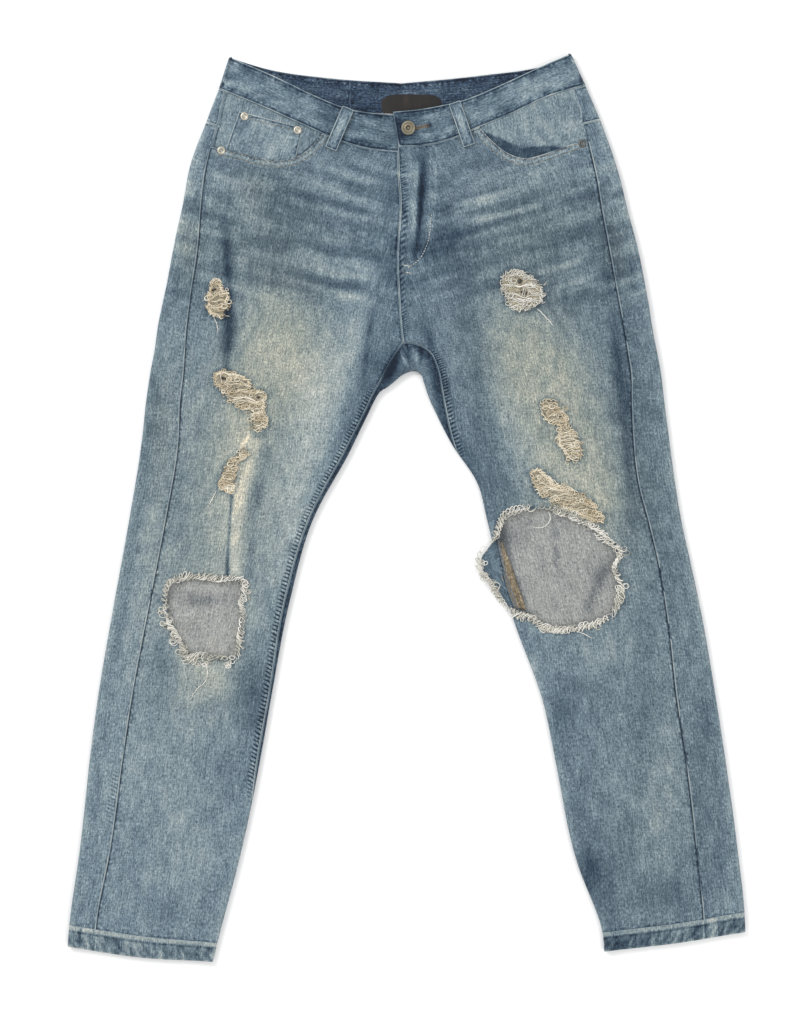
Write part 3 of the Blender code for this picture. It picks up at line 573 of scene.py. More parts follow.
INDIGO_STOPS = dyes((0, 19, 31, 47), (0.2, 47, 65, 82), (0.4, 85, 103, 116), (0.52, 111, 129, 140),
                    (0.62, 133, 148, 154), (0.76, 163, 173, 174), (0.9, 195, 198, 191), (1, 224, 223, 214))
WRONG_STOPS = dyes((0, 48, 52, 58), (0.35, 106, 110, 113),
                   (0.6, 152, 154, 152), (0.8, 180, 178, 170), (1, 210, 206, 196))
INNER_BAND_STOPS = dyes((0, 18, 27, 39), (0.35, 42, 58, 78),
                        (0.6, 70, 87, 104), (0.85, 112, 124, 130), (1, 174, 174, 164))
TAN_STOPS = dyes((0, 70, 64, 54), (0.4, 120, 109, 91), (0.75, 164, 151, 128), (1, 204, 194, 172))
# Cream torn threads, whose low end is the painted shade in the gaps between them.
TORN_STOPS = dyes((0, 54, 60, 64), (0.3, 120, 114, 100),
                  (0.55, 196, 185, 160), (0.8, 235, 223, 194), (1, 248, 244, 233))
PEACH_STOPS = dyes((0, 116, 104, 84), (0.25, 193, 178, 149), (0.55, 233, 220, 193), (1, 252, 246, 229))
COTTON_STOPS = dyes((0, 98, 102, 100), (0.25, 174, 174, 164), (0.55, 227, 224, 212), (1, 252, 250, 243))
WARM_SHIFT = (1.13, 1.00, 0.83, 1)


class Nodes:
    """Short words for making a material's nodes."""

    def __init__(self, name):
        self.material = bpy.data.materials.new(name)
        self.material.use_nodes = True
        self.tree = self.material.node_tree
        self.shader = self.tree.nodes["Principled BSDF"]

    def add(self, kind, **settings):
        node = self.tree.nodes.new(kind)
        for key, value in settings.items():
            setattr(node, key, value)
        return node

    def link(self, value, socket):
        if hasattr(value, "is_linked"):
            self.tree.links.new(value, socket)
        else:
            socket.default_value = value

    def math(self, operation, a, b, clamp=False):
        node = self.add("ShaderNodeMath", operation=operation, use_clamp=clamp)
        self.link(a, node.inputs[0])
        self.link(b, node.inputs[1])
        return node.outputs[0]

    def times(self, a, b):
        return self.math("MULTIPLY", a, b)

    def plus(self, result, *others):
        for other in others:
            result = self.math("ADD", result, other)
        return result

    def place(self):
        """Where a point is on the object, in metres."""
        return self.add("ShaderNodeTexCoord").outputs["Object"]

    def painted(self, key):
        return self.add("ShaderNodeAttribute", attribute_name=key).outputs["Fac"]

    def pattern(self, across=1.0, along=1.0, turn=0.0):
        """Places on the cloth in metres, stretched and turned."""
        place = self.add("ShaderNodeUVMap", uv_map="pattern").outputs[0]
        mapping = self.add("ShaderNodeMapping")
        self.link(place, mapping.inputs["Vector"])
        mapping.inputs["Scale"].default_value = (across, along, 1)
        mapping.inputs["Rotation"].default_value = (0, 0, math.radians(turn))
        return mapping.outputs[0]

    def noise(self, vector, size, detail, roughness=0.5, distortion=0.0):
        """Noise with lumps of about this size in metres, about 0 and mostly within half of 1."""
        node = self.add("ShaderNodeTexNoise")
        self.link(vector, node.inputs["Vector"])
        node.inputs["Scale"].default_value = 1 / size
        node.inputs["Detail"].default_value = detail
        node.inputs["Roughness"].default_value = roughness
        node.inputs["Distortion"].default_value = distortion
        return self.math("SUBTRACT", node.outputs["Fac"], 0.5)

    def span(self, value, low, high, to_low=0.0, to_high=1.0):
        """The value moved from one range to another, smoothly, and kept in it."""
        node = self.add("ShaderNodeMapRange", interpolation_type="SMOOTHSTEP")
        for socket, given in zip(node.inputs, (value, low, high, to_low, to_high)):
            self.link(given, socket)
        return node.outputs[0]

    def ramp(self, value, stops):
        node = self.add("ShaderNodeValToRGB")
        self.link(value, node.inputs[0])
        elements = node.color_ramp.elements
        while len(elements) < len(stops):
            elements.new(0.5)
        for element, (position, colour) in zip(elements, stops):
            element.position = position
            element.color = colour
        return node.outputs[0]

    def blend(self, share, a, b, kind="MIX"):
        node = self.add("ShaderNodeMix", data_type="RGBA", blend_type=kind)
        self.link(share, node.inputs[0])
        self.link(a, node.inputs[6])
        self.link(b, node.inputs[7])
        return node.outputs[2]

    def bump(self, height, strength, distance):
        node = self.add("ShaderNodeBump")
        node.inputs["Strength"].default_value = strength
        node.inputs["Distance"].default_value = distance
        self.link(height, node.inputs["Height"])
        self.link(node.outputs[0], self.shader.inputs["Normal"])

    def done(self, colour, roughness, metallic=0.0, sheen=0.0, specular=0.5):
        self.link(colour, self.shader.inputs["Base Color"])
        self.link(roughness, self.shader.inputs["Roughness"])
        self.shader.inputs["Metallic"].default_value = metallic
        self.shader.inputs["Specular IOR Level"].default_value = specular
        self.shader.inputs["Sheen Weight"].default_value = sheen
        return self.material


# %% [markdown]
# ## The denim's shader
#
# Seams need lines finer than the mesh. The trick is to paint a distance on the points and not a colour: how
# far the nearest seam, row of stitches or torn edge is, in millimetres. Distances stay true between points,
# so the shader can draw a sharp pale worn ridge, the dark groove beside it, which is painted shade, and the
# puckers that washing leaves there.

# %% Denim
# The seam profile: pale where the ridge is worn, then a dark groove beside the edge that is painted shade.
SEAM_STOPS = ((0, 0.88), (0.072, 0.88), (0.108, 0.48), (0.138, 0.18), (0.2, 0.32), (0.34, 0.46), (1, 0.5))
STITCH_STOPS = ((0, 0.34), (0.05, 0.4), (0.11, 0.62), (0.18, 0.6), (0.3, 0.47), (0.45, 0.5), (1, 0.5))
LINES = (("seam", SEAM_STOPS, 0.62, 1.0), ("stitch", STITCH_STOPS, 0.40, 0.3))
PROFILE_REACH = 12.0        # millimetres that the profiles above cover
GRAIN_DYE, GRAIN_SHADE = 0.50, 2.1
TICK_STEP = 4.1 * MM


def bands(n, step, turn, distortion):
    """Even bands across the cloth, this far apart, as a value from 0 to 1."""
    wave = n.add("ShaderNodeTexWave", wave_type="BANDS", bands_direction="Y")
    n.link(n.pattern(1, 1, turn), wave.inputs["Vector"])
    wave.inputs["Scale"].default_value = 2 * math.pi / 20 / step
    wave.inputs["Distortion"].default_value = distortion
    return wave.outputs["Fac"]


def grey(stops):
    return tuple((position, (level, level, level, 1)) for position, level in stops)


def denim(name, stops, tone=0.0, grain=1.0, sides=True):
    """Washed denim. sides says whether seams, tears and warmth are painted on it."""
    n = Nodes(name)
    yarn = n.noise(n.pattern(1, 0.34), 0.00115, 2, 0.6)
    streak = n.noise(n.pattern(1, 0.07), 0.0014, 2)
    weft = n.noise(n.pattern(0.12, 1), 0.0012, 1)
    speck = n.noise(n.pattern(1, 0.55), 0.0021, 2, 0.6)
    cloud = n.noise(n.pattern(1, 0.40), 0.010, 5, 0.58)
    fine = n.plus(n.times(yarn, 0.66 * grain), n.times(streak, 0.40 * grain), n.times(weft, 0.22 * grain),
                  n.times(speck, 0.30 * grain))
    if sides:
        fine = n.times(fine, n.span(n.painted("seam"), 0.5, 2.5, 0.30, 1.0))
    level = n.plus(n.painted("wash"), tone, n.times(fine, GRAIN_DYE), n.times(cloud, 0.33 * grain))
    shade = n.math("MAXIMUM", n.plus(n.times(fine, GRAIN_SHADE), 1.0), 0.3)
    relief_height = n.plus(n.times(bands(n, 1.05 * MM, -32, 1.2), 0.30), yarn, streak)
    if not sides:
        n.bump(relief_height, 0.45, 0.0004)
        return n.done(n.blend(1.0, n.ramp(level, stops), shade, "MULTIPLY"), 0.92, sheen=0.10, specular=0.25)

    pucker = n.times(n.noise(n.pattern(1, 1, 35), 0.0042, 2, 0.6, 0.6), 1.0)
    uneven = n.plus(n.times(n.noise(n.pattern(), 0.014, 2), 1.1), 1.0)
    for key, profile, strength, puckered in LINES:
        distance = n.painted(key)
        line = n.ramp(n.math("DIVIDE", distance, PROFILE_REACH, clamp=True), grey(profile))
        line = n.times(n.math("SUBTRACT", line, 0.5), n.times(uneven, strength))
        near = n.times(n.span(distance, 1.0, 2.4), n.span(distance, 2.4, 8.0, puckered, 0.0))
        level = n.plus(level, line, n.times(n.times(pucker, near), grain))
    tick = n.span(bands(n, TICK_STEP, 24, 2.4), 0.45, 0.85, 0.09, -0.34)
    level = n.plus(level, n.times(n.painted("ladder"), tick))
    colour = n.blend(1.0, n.ramp(level, stops), shade, "MULTIPLY")

    edge = n.painted("torn")
    torn = n.plus(edge, n.times(n.noise(n.pattern(0.6, 1), 0.0034, 4, 0.72), 8.0))
    ragged = n.span(torn, -0.8, 1.4, 1.0, 0.0)
    fibre = n.noise(n.pattern(0.22, 1), 0.0013, 3, 0.65, 2.2)
    # Under the loose threads the torn cloth is painted towards the dark end of its ramp near the edge, as
    # shade in the gaps between the threads.
    middle = n.span(edge, 0.6, -2.5, 0.08, 0.38)
    threads = n.ramp(n.plus(n.times(fibre, 1.9), middle), TORN_STOPS)
    warm = n.blend(1.0, colour, WARM_SHIFT, "MULTIPLY")
    off_seam = n.span(n.painted("seam"), 0.8, 2.6, 0.2, 1.0)
    colour = n.blend(n.times(n.painted("warm"), off_seam), colour, warm)
    colour = n.blend(ragged, colour, threads)
    n.bump(n.plus(relief_height, n.times(n.times(fibre, ragged), 2.5)), 0.45, 0.0004)
    return n.done(colour, 0.92, sheen=0.10, specular=0.25)

# %% [markdown]
# ## Where the cloth is torn
#
# Both knees are torn right through: white weft threads hang in a ring of fray. Higher up are worn patches
# where the blue warp has gone and only tangled cream threads hold. The outlines are closed curves through a
# few points, and the same outlines later guide the loose threads.

# %% Tears and pocket mouths
KNEES = {
    "right": places(
        (-274, -86), (-258, -82), (-218, -84), (-191, -86), (-194, -112), (-191, -131), (-197, -160),
        (-200, -173), (-230, -172), (-258, -172), (-264, -155), (-276, -133), (-280, -108)),
    "left": places(
        (109, -20), (117, -8), (140, -2), (168, -3), (200, -14), (229, -34), (249, -54), (241, -68),
        (249, -90), (247, -110), (234, -127), (210, -136), (170, -140), (146, -128), (123, -120), (111, -106),
        (99, -85), (87, -70), (88, -56), (102, -39)),
}
PATCHES = {
    "right": (
        places((-225, 263), (-213, 258), (-208, 246), (-211, 234), (-217, 222), (-226, 225), (-232, 239),
            (-231, 252)),
        places((-223, 156), (-216, 160), (-197, 157), (-186, 150), (-177, 137), (-169, 136), (-165, 130),
            (-167, 116), (-163, 103), (-166, 92), (-174, 89), (-181, 93), (-179, 106), (-181, 116),
            (-191, 116), (-206, 126), (-216, 135), (-223, 146)),
        places((-192, 70), (-200, 60), (-206, 56), (-213, 46), (-219, 33), (-216, 22), (-206, 17), (-200, 26),
            (-199, 40), (-194, 53), (-188, 66)),
    ),
    "left": (
        places((112, 270), (124, 278), (142, 270), (158, 258), (156, 240), (140, 231), (122, 236),
            (113, 252)),
        places((158, 123), (172, 124), (183, 112), (190, 96), (202, 76), (205, 60), (192, 55), (180, 72),
            (176, 94), (162, 104)),
        places((147, 44), (157, 42), (171, 32), (182, 24), (198, 20), (211, 12), (223, -1), (229, -16),
            (220, -18), (206, -9), (191, -3), (175, 6), (160, 14), (148, 26)),
    ),
}
PINHOLES = {"right": places((-224, 254, 2.8), (-215, 151, 3.2), (-173, 129, 2.6), (-199, 140, 1.8)),
            "left": places((132, 265, 3.4), (137, 251, 3), (180, 108, 2.2))}
MOUTHS = {
    "right": places(
        (-222, 420), (-195, 415), (-170, 408), (-145, 406), (-125, 411), (-110, 423), (-98, 437)),
    "left": places(
        (208, 429), (180, 420), (158, 412), (138, 408), (118, 414), (100, 428), (84, 445)),
}
SIGN = {"right": -1, "left": 1}
KNEE_LINES = {side: rounded(outline, 140) for side, outline in KNEES.items()}
PATCH_JAG = 2.2 * MM


def bitten(line, seed):
    """An outline with small bays and points, as threads give way one by one."""
    run = np.roll(line, -1, axis=0) - np.roll(line, 1, axis=0)
    out = np.column_stack([run[:, 1], -run[:, 0]]) / np.linalg.norm(run, axis=1)[:, None]
    x, y = line.T
    jag = noise(x, y, 0.0055, seed) + 0.6 * noise(x, y, 0.0022, seed + 1)
    return line + PATCH_JAG * jag[:, None] * out


PATCH_LINES = {side: [bitten(rounded(outline, 84), 91) for outline in outlines]
               for side, outlines in PATCHES.items()}


def mouth_line(side):
    """The pocket mouth, from beyond the side seam to beyond the waist seam."""
    line = curve(MOUTHS[side], 40)
    out = np.array([SIGN[side] * 0.010, 0.002])
    return np.concatenate([[line[0] + out], line, [line[-1] + (line[-1] - line[-2]) * 6]])


def mouth_outline(side):
    line = mouth_line(side)
    beyond = [(line[-1][0], 0.54), (line[0][0], 0.54)]
    return np.concatenate([line, beyond])


def torn_distance(x, y, side):
    """Distance to the nearest tear, in millimetres: below zero on a worn patch or inside a hole."""
    away = signed_distance(x, y, KNEE_LINES[side])
    for line in PATCH_LINES[side]:
        away = np.minimum(away, signed_distance(x, y, line))
    return away / MM


for side, line in KNEE_LINES.items():
    print(f"round the torn {side} knee: {lengths_along(line)[-1] / MM:.0f} mm")

# %% [markdown]
# ## How the wash lies on them
#
# Fading is painted as the maker does it: the whole pair is washed to one middle blue, then thighs, knees
# and seat are sanded pale, and whiskers are sanded along the creases of the hips. A fade is a soft ellipse,
# and a whisker is a line with a width. Many rows in the same tables are painted shade and light instead:
# dark lines in the troughs of folds, in the fly's crease and round the crotch, dark patches in the crotch
# and inside the knees, and pale lines beside some creases as painted highlight. Tone above zero is paler.
# Warm is the yellowish cast of the sanded places.

# %% Fades and whiskers
Fade = namedtuple("Fade", "x y across along tilt tone warm")
ToneLine = namedtuple("ToneLine", "line width tone")
TONE_SPOT_UNITS = (1000, 1000, 1000, 1000, 1, 100, 100)      # tilt is in degrees, tone and warmth in hundredths
TONE_LINE_UNITS = (1000, 100)
BASE_TONE = 0.46
# How much paler the folded edges are painted, as painted light, and how far in it reaches.
EDGE_PALE, EDGE_REACH = 0.09, 7 * MM
FAN_RISE, FAN_SQUEEZE, FAN_TONE = 0.30, 5.5, 0.17
# Fades of the wash. Some darker spots, as in the crotch, are painted shade, and pale ones along the outer
# edges of the legs are painted light.
FADES_SHADE_AND_LIGHT_TOP = rows_of(Fade, (
    (-140, 190, 52, 75, -10, 14, 80), (-185, 110, 50, 110, -8, 12, 40), (-200, 20, 40, 120, -6, 12, 20),
    (-225, -120, 70, 110, 0, 13, 20), (-230, -200, 40, 40, 0, 12, 30), (-270, -350, 50, 160, 6, 10, 10),
    (-105, 85, 32, 125, -18, 21, 10), (-285, 50, 18, 200, -6, 9, 10), (-320, -200, 20, 180, -4, 6, 0),
    (-320, -490, 70, 50, 0, 8, 0), (133, 180, 60, 85, 14, 14, 80), (190, 80, 50, 110, 14, 15, 70),
    (190, 0, 70, 60, 10, 12, 40), (290, -360, 45, 150, -8, 7, 10), (-130, 330, 100, 80, 0, -6, 0),
    (120, 330, 100, 80, 0, -6, 0), (-146, 340, 18, 65, 0, -8, 0), (225, 340, 20, 70, 12, -5, 0),
    (5, 210, 35, 60, 0, -4, 0), (35, 340, 30, 110, 22, -6, 0), (35, 298, 45, 18, 0, -10, 0),
    (-60, 110, 20, 90, -24, -14, 0), (60, 90, 18, 100, 20, -6, 0), (80, 160, 16, 110, 9, -12, 0),
    (-120, -60, 14, 120, -14, -4, 0), (115, 10, 20, 30, 0, -8, 0), (262, 110, 16, 180, 12, -7, 0),
    (-178, -215, 18, 40, 0, -18, 0), (-285, -185, 16, 35, 0, -12, 0), (277, -190, 20, 110, -4, -8, 0),
    (350, -260, 18, 90, -4, -8, 0), (180, -240, 14, 60, -8, -8, 0), (235, -430, 50, 80, -14, -12, 0),
    (206, -450, 12, 40, -10, -26, 0), (260, -290, 60, 150, -6, 5, 0), (225, -165, 45, 25, 0, 8, 10),
    (311, -448, 20, 20, 0, -8, 0), (-285, -482, 20, 20, 0, -8, 0), (-350, -340, 14, 110, -6, 7, 0),
    (-249, 395, 12, 40, -12, 9, 0), (243, 360, 12, 60, 12, 8, 0), (-75, 446, 55, 24, 0, -13, 0),
    (5, 444, 45, 26, 0, -12, 0), (150, 270, 30, 20, 0, -8, 0), (-310, 60, 10, 180, -8, -8, 0),
    (-205, 440, 16, 16, 0, -5, 0), (2, 442, 14, 12, 0, -22, 0), (27, 446, 3, 3, 0, -40, 0),
    (-230, 20, 110, 220, -6, 0, 40), (230, 30, 90, 200, 8, 0, 40), (-230, -200, 60, 80, 4, 0, 10),
    (300, -350, 90, 200, -4, 0, 20), (-12, 158, 26, 18, -20, -16, 0), (74, 40, 8, 40, 16, -12, 0),
    (-170, 320, 80, 85, 0, 1, 45), (150, 325, 85, 70, 0, 1, 40), (180, 325, 22, 26, 0, -6, 0),
    (243, 300, 16, 50, 10, -3, 50), (297, -447, 24, 30, 0, -8, 0), (367, -400, 14, 40, -4, -7, 0),
    (4, 360, 10, 45, 0, 10, 0), (-18, 330, 12, 70, 0, -8, 0), (-288, 103, 16, 60, -4, -5, 30),
    (-254, 302, 16, 40, 0, 4, 50), (-175, 375, 22, 22, 0, 6, 30), (-166, 126, 30, 40, 0, -6, 30),
    (-254, 100, 12, 60, -6, 8, 0), (-117, 140, 18, 40, -20, 7, 0), (-60, 212, 10, 55, -16, 7, 0),
    (-138, -40, 15, 55, -12, 9, 0), (-198, -200, 16, 22, 0, -7, 0), (-326, -360, 18, 45, -6, 7, 0),
    (-254, -459, 30, 30, 0, -5, 0), (235, 236, 10, 40, 12, 8, 0), (178, 234, 25, 30, 0, -6, 0),
    (133, 95, 20, 45, 24, 8, 0), (277, -74, 20, 35, 0, 7, 0), (265, -30, 8, 35, 0, -7, 0),
    (325, -185, 10, 30, -10, -6, 0), (277, -289, 14, 55, -4, -6, 0), (205, -340, 8, 22, 0, -8, 0),
    (283, -468, 34, 12, -6, -6, 0), (373, -468, 18, 22, 0, 7, 0), (98, 468, 20, 12, 16, -2, 0),
    (165, 482, 40, 14, 16, 2, 0), (247, -512, 30, 10, -6, -16, 0)), TONE_SPOT_UNITS)
# Fades of the wash on the back. The dark spot inside the left knee is painted shade.
FADES_AND_SHADE_UNDER = rows_of(Fade, (
    (-110, 300, 75, 85, 0, 10, 30), (110, 300, 75, 85, 0, 10, 30), (-160, 150, 60, 100, -8, 13, 50),
    (160, 150, 60, 100, 8, 13, 50), (-235, -70, 60, 70, 0, -4, 0), (230, -70, 60, 70, 0, -4, 0),
    (-275, -300, 50, 120, 6, 8, 20), (280, -300, 50, 120, -8, 8, 20), (0, 230, 40, 80, 0, -8, 0),
    (130, -33, 24, 28, 0, -12, 0)), TONE_SPOT_UNITS)
# Worn creases behind the knees. Inside the torn knees they are painted shade in the creases of the layer
# below.
WHISKERS_AND_SHADE_UNDER = lines_of(ToneLine, (
    (((173, -6), (175, -50), (172, -90)), 1.8, -26), (((246, -52), (222, -90), (208, -135)), 6, -18),
    (((200, -20), (150, -12), (115, -30)), 10, -8), (((-274, -104), (-235, -108), (-196, -104)), 7, -13),
    (((-262, -88), (-230, -92), (-198, -88)), 6, 5), (((-250, -120), (-244, -150), (-246, -172)), 5, -6)),
    TONE_LINE_UNITS)
# Besides whiskers, this table holds painted shade and light. The dark lines are in the troughs of folds, in
# the fly's crease, round the crotch and beside the pale ridge on the right thigh. Pale lines beside the fly's
# crease are painted highlight.
WHISKERS_SHADE_AND_LIGHT_TOP = lines_of(ToneLine, (
    (((-6, 190), (-5, 176), (3, 165)), 1.6, 24), (((4, 191), (11, 180), (12, 166)), 1.6, 24),
    (((0, 189), (1, 178), (7, 168)), 3, -18), (((-12, 190), (-16, 172), (-28, 150)), 6, -18),
    (((18, 190), (17.5, 176), (15, 162)), 2.2, -20), (((-125, 386), (-72, 366), (-30, 352)), 3.9, 11),
    (((-136, 360), (-78, 344), (-25, 335)), 4.3, 14), (((-169, 335), (-101, 314), (-25, 302)), 4.7, 14),
    (((-142, 288), (-84, 273), (-25, 267)), 4.7, 11), (((-125, 253), (-72, 246), (-25, 252)), 5.2, 9),
    (((-142, 373), (-105, 352), (-60, 340)), 3.9, -14), (((-160, 322), (-95, 300), (-31, 289)), 4.3, -13),
    (((-130, 272), (-80, 260), (-28, 258)), 3.9, -9), (((51, 378), (75, 388), (100, 396)), 3.9, 12),
    (((39, 355), (86, 360), (144, 378)), 4.7, 14), (((57, 331), (133, 346), (180, 360)), 4.7, 14),
    (((86, 308), (144, 318), (203, 343)), 4.7, 13), (((144, 273), (197, 288), (226, 308)), 4.7, 13),
    (((168, 255), (226, 273)), 4.3, 9), (((50, 343), (120, 350), (170, 370)), 3.6, -9),
    (((120, 300), (180, 308), (215, 325)), 3.9, -9),
    (((-166, 120), (-180, 66), (-193, 18), (-198, -30), (-199, -120)), 8, 15),
    (((-202.5, 50), (-204.5, 5), (-208.5, -50), (-209, -120)), 1.8, -42),
    (((-150, 110), (-166, 50), (-178, 0), (-184, -110)), 9.5, -15),
    (((-181, 88), (-190, 76), (-198, 62)), 1.7, 26), (((-182, 85), (-173, 83), (-163, 87)), 2.2, -22),
    (((-212, 345), (-207, 250), (-212, 130)), 6.5, -28), (((-31, 255), (-46, 190), (-50, 138)), 5, -14),
    (((16, 232), (36, 170), (57, 115)), 5, -14), (((20, 418), (17.5, 372), (15, 331), (8, 282)), 4.4, -40),
    (((31, 400), (28.5, 335), (23.5, 300)), 5, 12), (((13, 405), (10.5, 360), (7, 315)), 3, 10),
    (((226, 314), (250, 150), (264, -20)), 7, -16), (((176, 214), (172, 160), (160, 132)), 4.2, -12),
    (((160, 215), (161, 120)), 4, -5)), TONE_LINE_UNITS)


def wash(x, y, tone_spots, tone_lines, seed):
    """Tone and warmth of the cloth at points seen from one side: its wash, with the painted shade and light
    that the tables hold.
    """
    tone = BASE_TONE + 0.045 * clouds(x, y, 0.060, seed) + 0.040 * clouds(x, y, 0.014, seed + 3)
    warmth = np.zeros(np.shape(x))
    for fade in tone_spots:
        tilt = math.radians(fade.tilt)
        dx, dy = x - fade.x, y - fade.y
        across = (dx * math.cos(tilt) + dy * math.sin(tilt)) / fade.across
        up = (dy * math.cos(tilt) - dx * math.sin(tilt)) / fade.along
        share = np.exp(-(across**2 + up**2))
        tone = tone + fade.tone * share
        warmth = warmth + fade.warm * share
    for tone_line in tone_lines:
        line = curve(tone_line.line, 9)
        away, where = distance_to_line(x, y, line)
        length = lengths_along(line)[-1]
        ends = smoothstep(-0.1 * length, 0.35 * length, where)
        ends = ends * smoothstep(-0.1 * length, 0.35 * length, length - where)
        width = tone_line.width * (1 + 0.5 * noise(x, y, 0.022, seed + 7))
        strength = 1 + 0.5 * noise(x, y, 0.030, seed + 9)
        tone = tone + tone_line.tone * strength * ends * bell(away, width)
    return tone, np.clip(warmth, 0, 1)


def hip_streaks(x, y):
    """Soft creases fan out from the crotch over both hips."""
    fan = clouds(x, FAN_SQUEEZE * (y - FAN_RISE * np.abs(x)), 0.052, 23, 2)
    return FAN_TONE * fan * smoothstep(0.215, 0.265, y) * smoothstep(0.420, 0.385, y)


def fold_wear_and_shade(x, y, folds, seed):
    """The tops of folds rub pale, and the troughs are painted darker as shade."""
    return np.clip(relief(x, y, folds, seed) / MM, -2, 2) * 0.022


def painted_edge_light(x, y):
    """The folded edges are painted paler, as painted light where they turn away into shade, but for those
    between the thighs.
    """
    outer, inner = (np.min([distance_to_line(x, y, line)[0] for line in EDGES[first::2]], axis=0)
                    for first in (0, 1))
    calves = smoothstep(-0.130, -0.190, y)
    return EDGE_PALE * np.maximum(bell(outer, EDGE_REACH), calves * bell(inner, EDGE_REACH))


print("fades:", len(FADES_SHADE_AND_LIGHT_TOP) + len(FADES_AND_SHADE_UNDER), "whiskers:", len(WHISKERS_SHADE_AND_LIGHT_TOP))

# %% [markdown]
# ## Seams
#
# Two pieces meet at a seam with one edge on top and the other tucked under it. The edge on top is rolled:
# low at its very rim, then a soft ridge over the allowance inside. Points are close together there, and
# further apart in the middle of a piece, so that the ridge is a real shape.

# %% Points across a piece
FINE = np.array([0, 0.5, 1.0, 1.6, 2.4, 3.4, 4.8, 6.6]) * MM
ROW_CELL = 0.0029
TUCK = np.array([1.0, 2.0, 3.0]) * MM
TUCK_DEPTH = DENIM + 0.1 * MM
UNDER_LIFT = 0.35 * MM
J_STITCH = places((31.5, 418), (30.5, 380), (28.5, 335), (23.5, 306), (13, 288), (1, 280))


def spread(low, high, cells, fine_low=True, fine_high=True):
    """Places from low to high, with closer ones at the ends that are seams."""
    fine = FINE * min(1, 0.42 * abs(high - low) / FINE[-1]) * (1 if high > low else -1)
    head = low + fine if fine_low else np.array([low])
    tail = (high - fine)[::-1] if fine_high else np.array([high])
    return np.concatenate([head, np.linspace(head[-1], tail[0], cells + 1)[1:-1], tail])


def rolled(distance):
    """How far the edge on top stands proud, this far in from a seam."""
    return 0.38 * MM * bell(distance - 1.5 * MM, 1.5 * MM) - 0.45 * MM * bell(distance, 0.5 * MM)


def tucked(beyond):
    """How deep the edge below lies, this far past the seam."""
    return TUCK_DEPTH * smoothstep(-0.8 * MM, 0.6 * MM, beyond)


def rows_up(side, start, end):
    """Heights up a leg and then up its hip, for a piece from one to the other, with the seam rows close."""
    leg_end = knots_of(LEGS[side])[-1]
    legs = spread(start, leg_end, round((leg_end - start) / ROW_CELL), fine_high=False)
    hips = spread(0, end, round(end / ROW_CELL), fine_low=False)[1:]
    return legs, hips, leg_end


class Rows:
    """The rings and places of one piece, filled row by row."""

    def __init__(self):
        self.rings, self.places, self.ups = [], [], []

    def add(self, ring, places, up):
        self.rings.append(ring)
        self.places.append(places)
        self.ups.append(up)

    def each(self, values):
        """A value of each row, given to each of the row's places."""
        return np.repeat(np.array(values), [len(row) for row in self.places])

    def place(self):
        return np.concatenate(self.places)

    def up(self):
        return self.each(self.ups)

    def of_ring(self, key):
        """One of the lengths of each row's ring, at each of its places."""
        return self.each([getattr(ring, key) for ring in self.rings])

    def surface(self, inset):
        """Points of the outer face, sunk by inset, and each one's share of the top layer."""
        laid = [ring.lay(row) for ring, row in zip(self.rings, self.places)]
        flat, over, angle = (np.concatenate([part[i] for part in laid]) for i in range(3))
        x, y = flat[:, 0] + 0, flat[:, 1] + 0
        turned = angle < math.pi / 2 - 1e-9
        inset = inset + np.where(over, 0, UNDER_LIFT)
        climb = np.where(over, 1, -1) * (FOLD_RADIUS - inset) * np.sin(angle)
        round_it = floor_height(y) + FOLD_RADIUS + climb
        z = np.where(turned, round_it, np.where(over, top_height(x, y) - inset, under_height(x, y) + inset))
        share = smoothstep(0, 2 * FOLD_RADIUS, z - floor_height(y)) if turned.any() else over * 1.0
        share = np.where(turned, share, over * 1.0)
        return np.stack([x, y, np.maximum(z, 0.1 * MM)], -1), share


def painted_panel(rows, inset, seam, side, flip, torn=True):
    """A panel from its rows, with its wash, painted shade and light, seams, stitches and tears painted on it.
    """
    points, share = rows.surface(inset)
    x, y = points[:, 0], points[:, 1]
    top_tone, top_warm = wash(x, y, FADES_SHADE_AND_LIGHT_TOP, WHISKERS_SHADE_AND_LIGHT_TOP, 11)
    under_tone, under_warm = wash(x, y, FADES_AND_SHADE_UNDER, WHISKERS_AND_SHADE_UNDER, 12)
    tone = share * (top_tone + fold_wear_and_shade(x, y, TOP_FOLDS, 1)) + (1 - share) * under_tone
    tone = tone + painted_edge_light(x, y) + hip_streaks(x, y)
    warm = share * top_warm + (1 - share) * under_warm
    tears = np.where(share > 0.5, torn_distance(x, y, side), NO_SEAM) if torn else NO_SEAM
    faces = grid_faces([len(row) for row in rows.places], flip)
    return Cloth(points, faces, np.stack([rows.place(), rows.up()], -1), wash=tone, warm=warm, seam=seam / MM,
                 torn=tears)


# %% [markdown]
# ## The fronts
#
# A front runs from the hem to the waistband, and from the outseam round to the inseam. Its pocket mouth and
# its torn knee are cut out of it, and the wearer's left front lies over the right one at the fly.

# %% Fronts
FRONT_CELLS = 92
FLY_TUCK = np.array([1.0, 2.5, 4.0]) * MM
CROTCH = 0.79               # metres up from the hem, where the right front goes under the fly
MOUTH_STITCHES = (2.2, 7.4)
MOUTH_PALE, TEAR_SHADE = 0.10, 0.16
# The darker line beside a pocket mouth is painted shade under its edge.
MOUTH_RIM = {"right": 0.7, "left": 0.35}        # millimetres added beside a pocket mouth, for a darker line
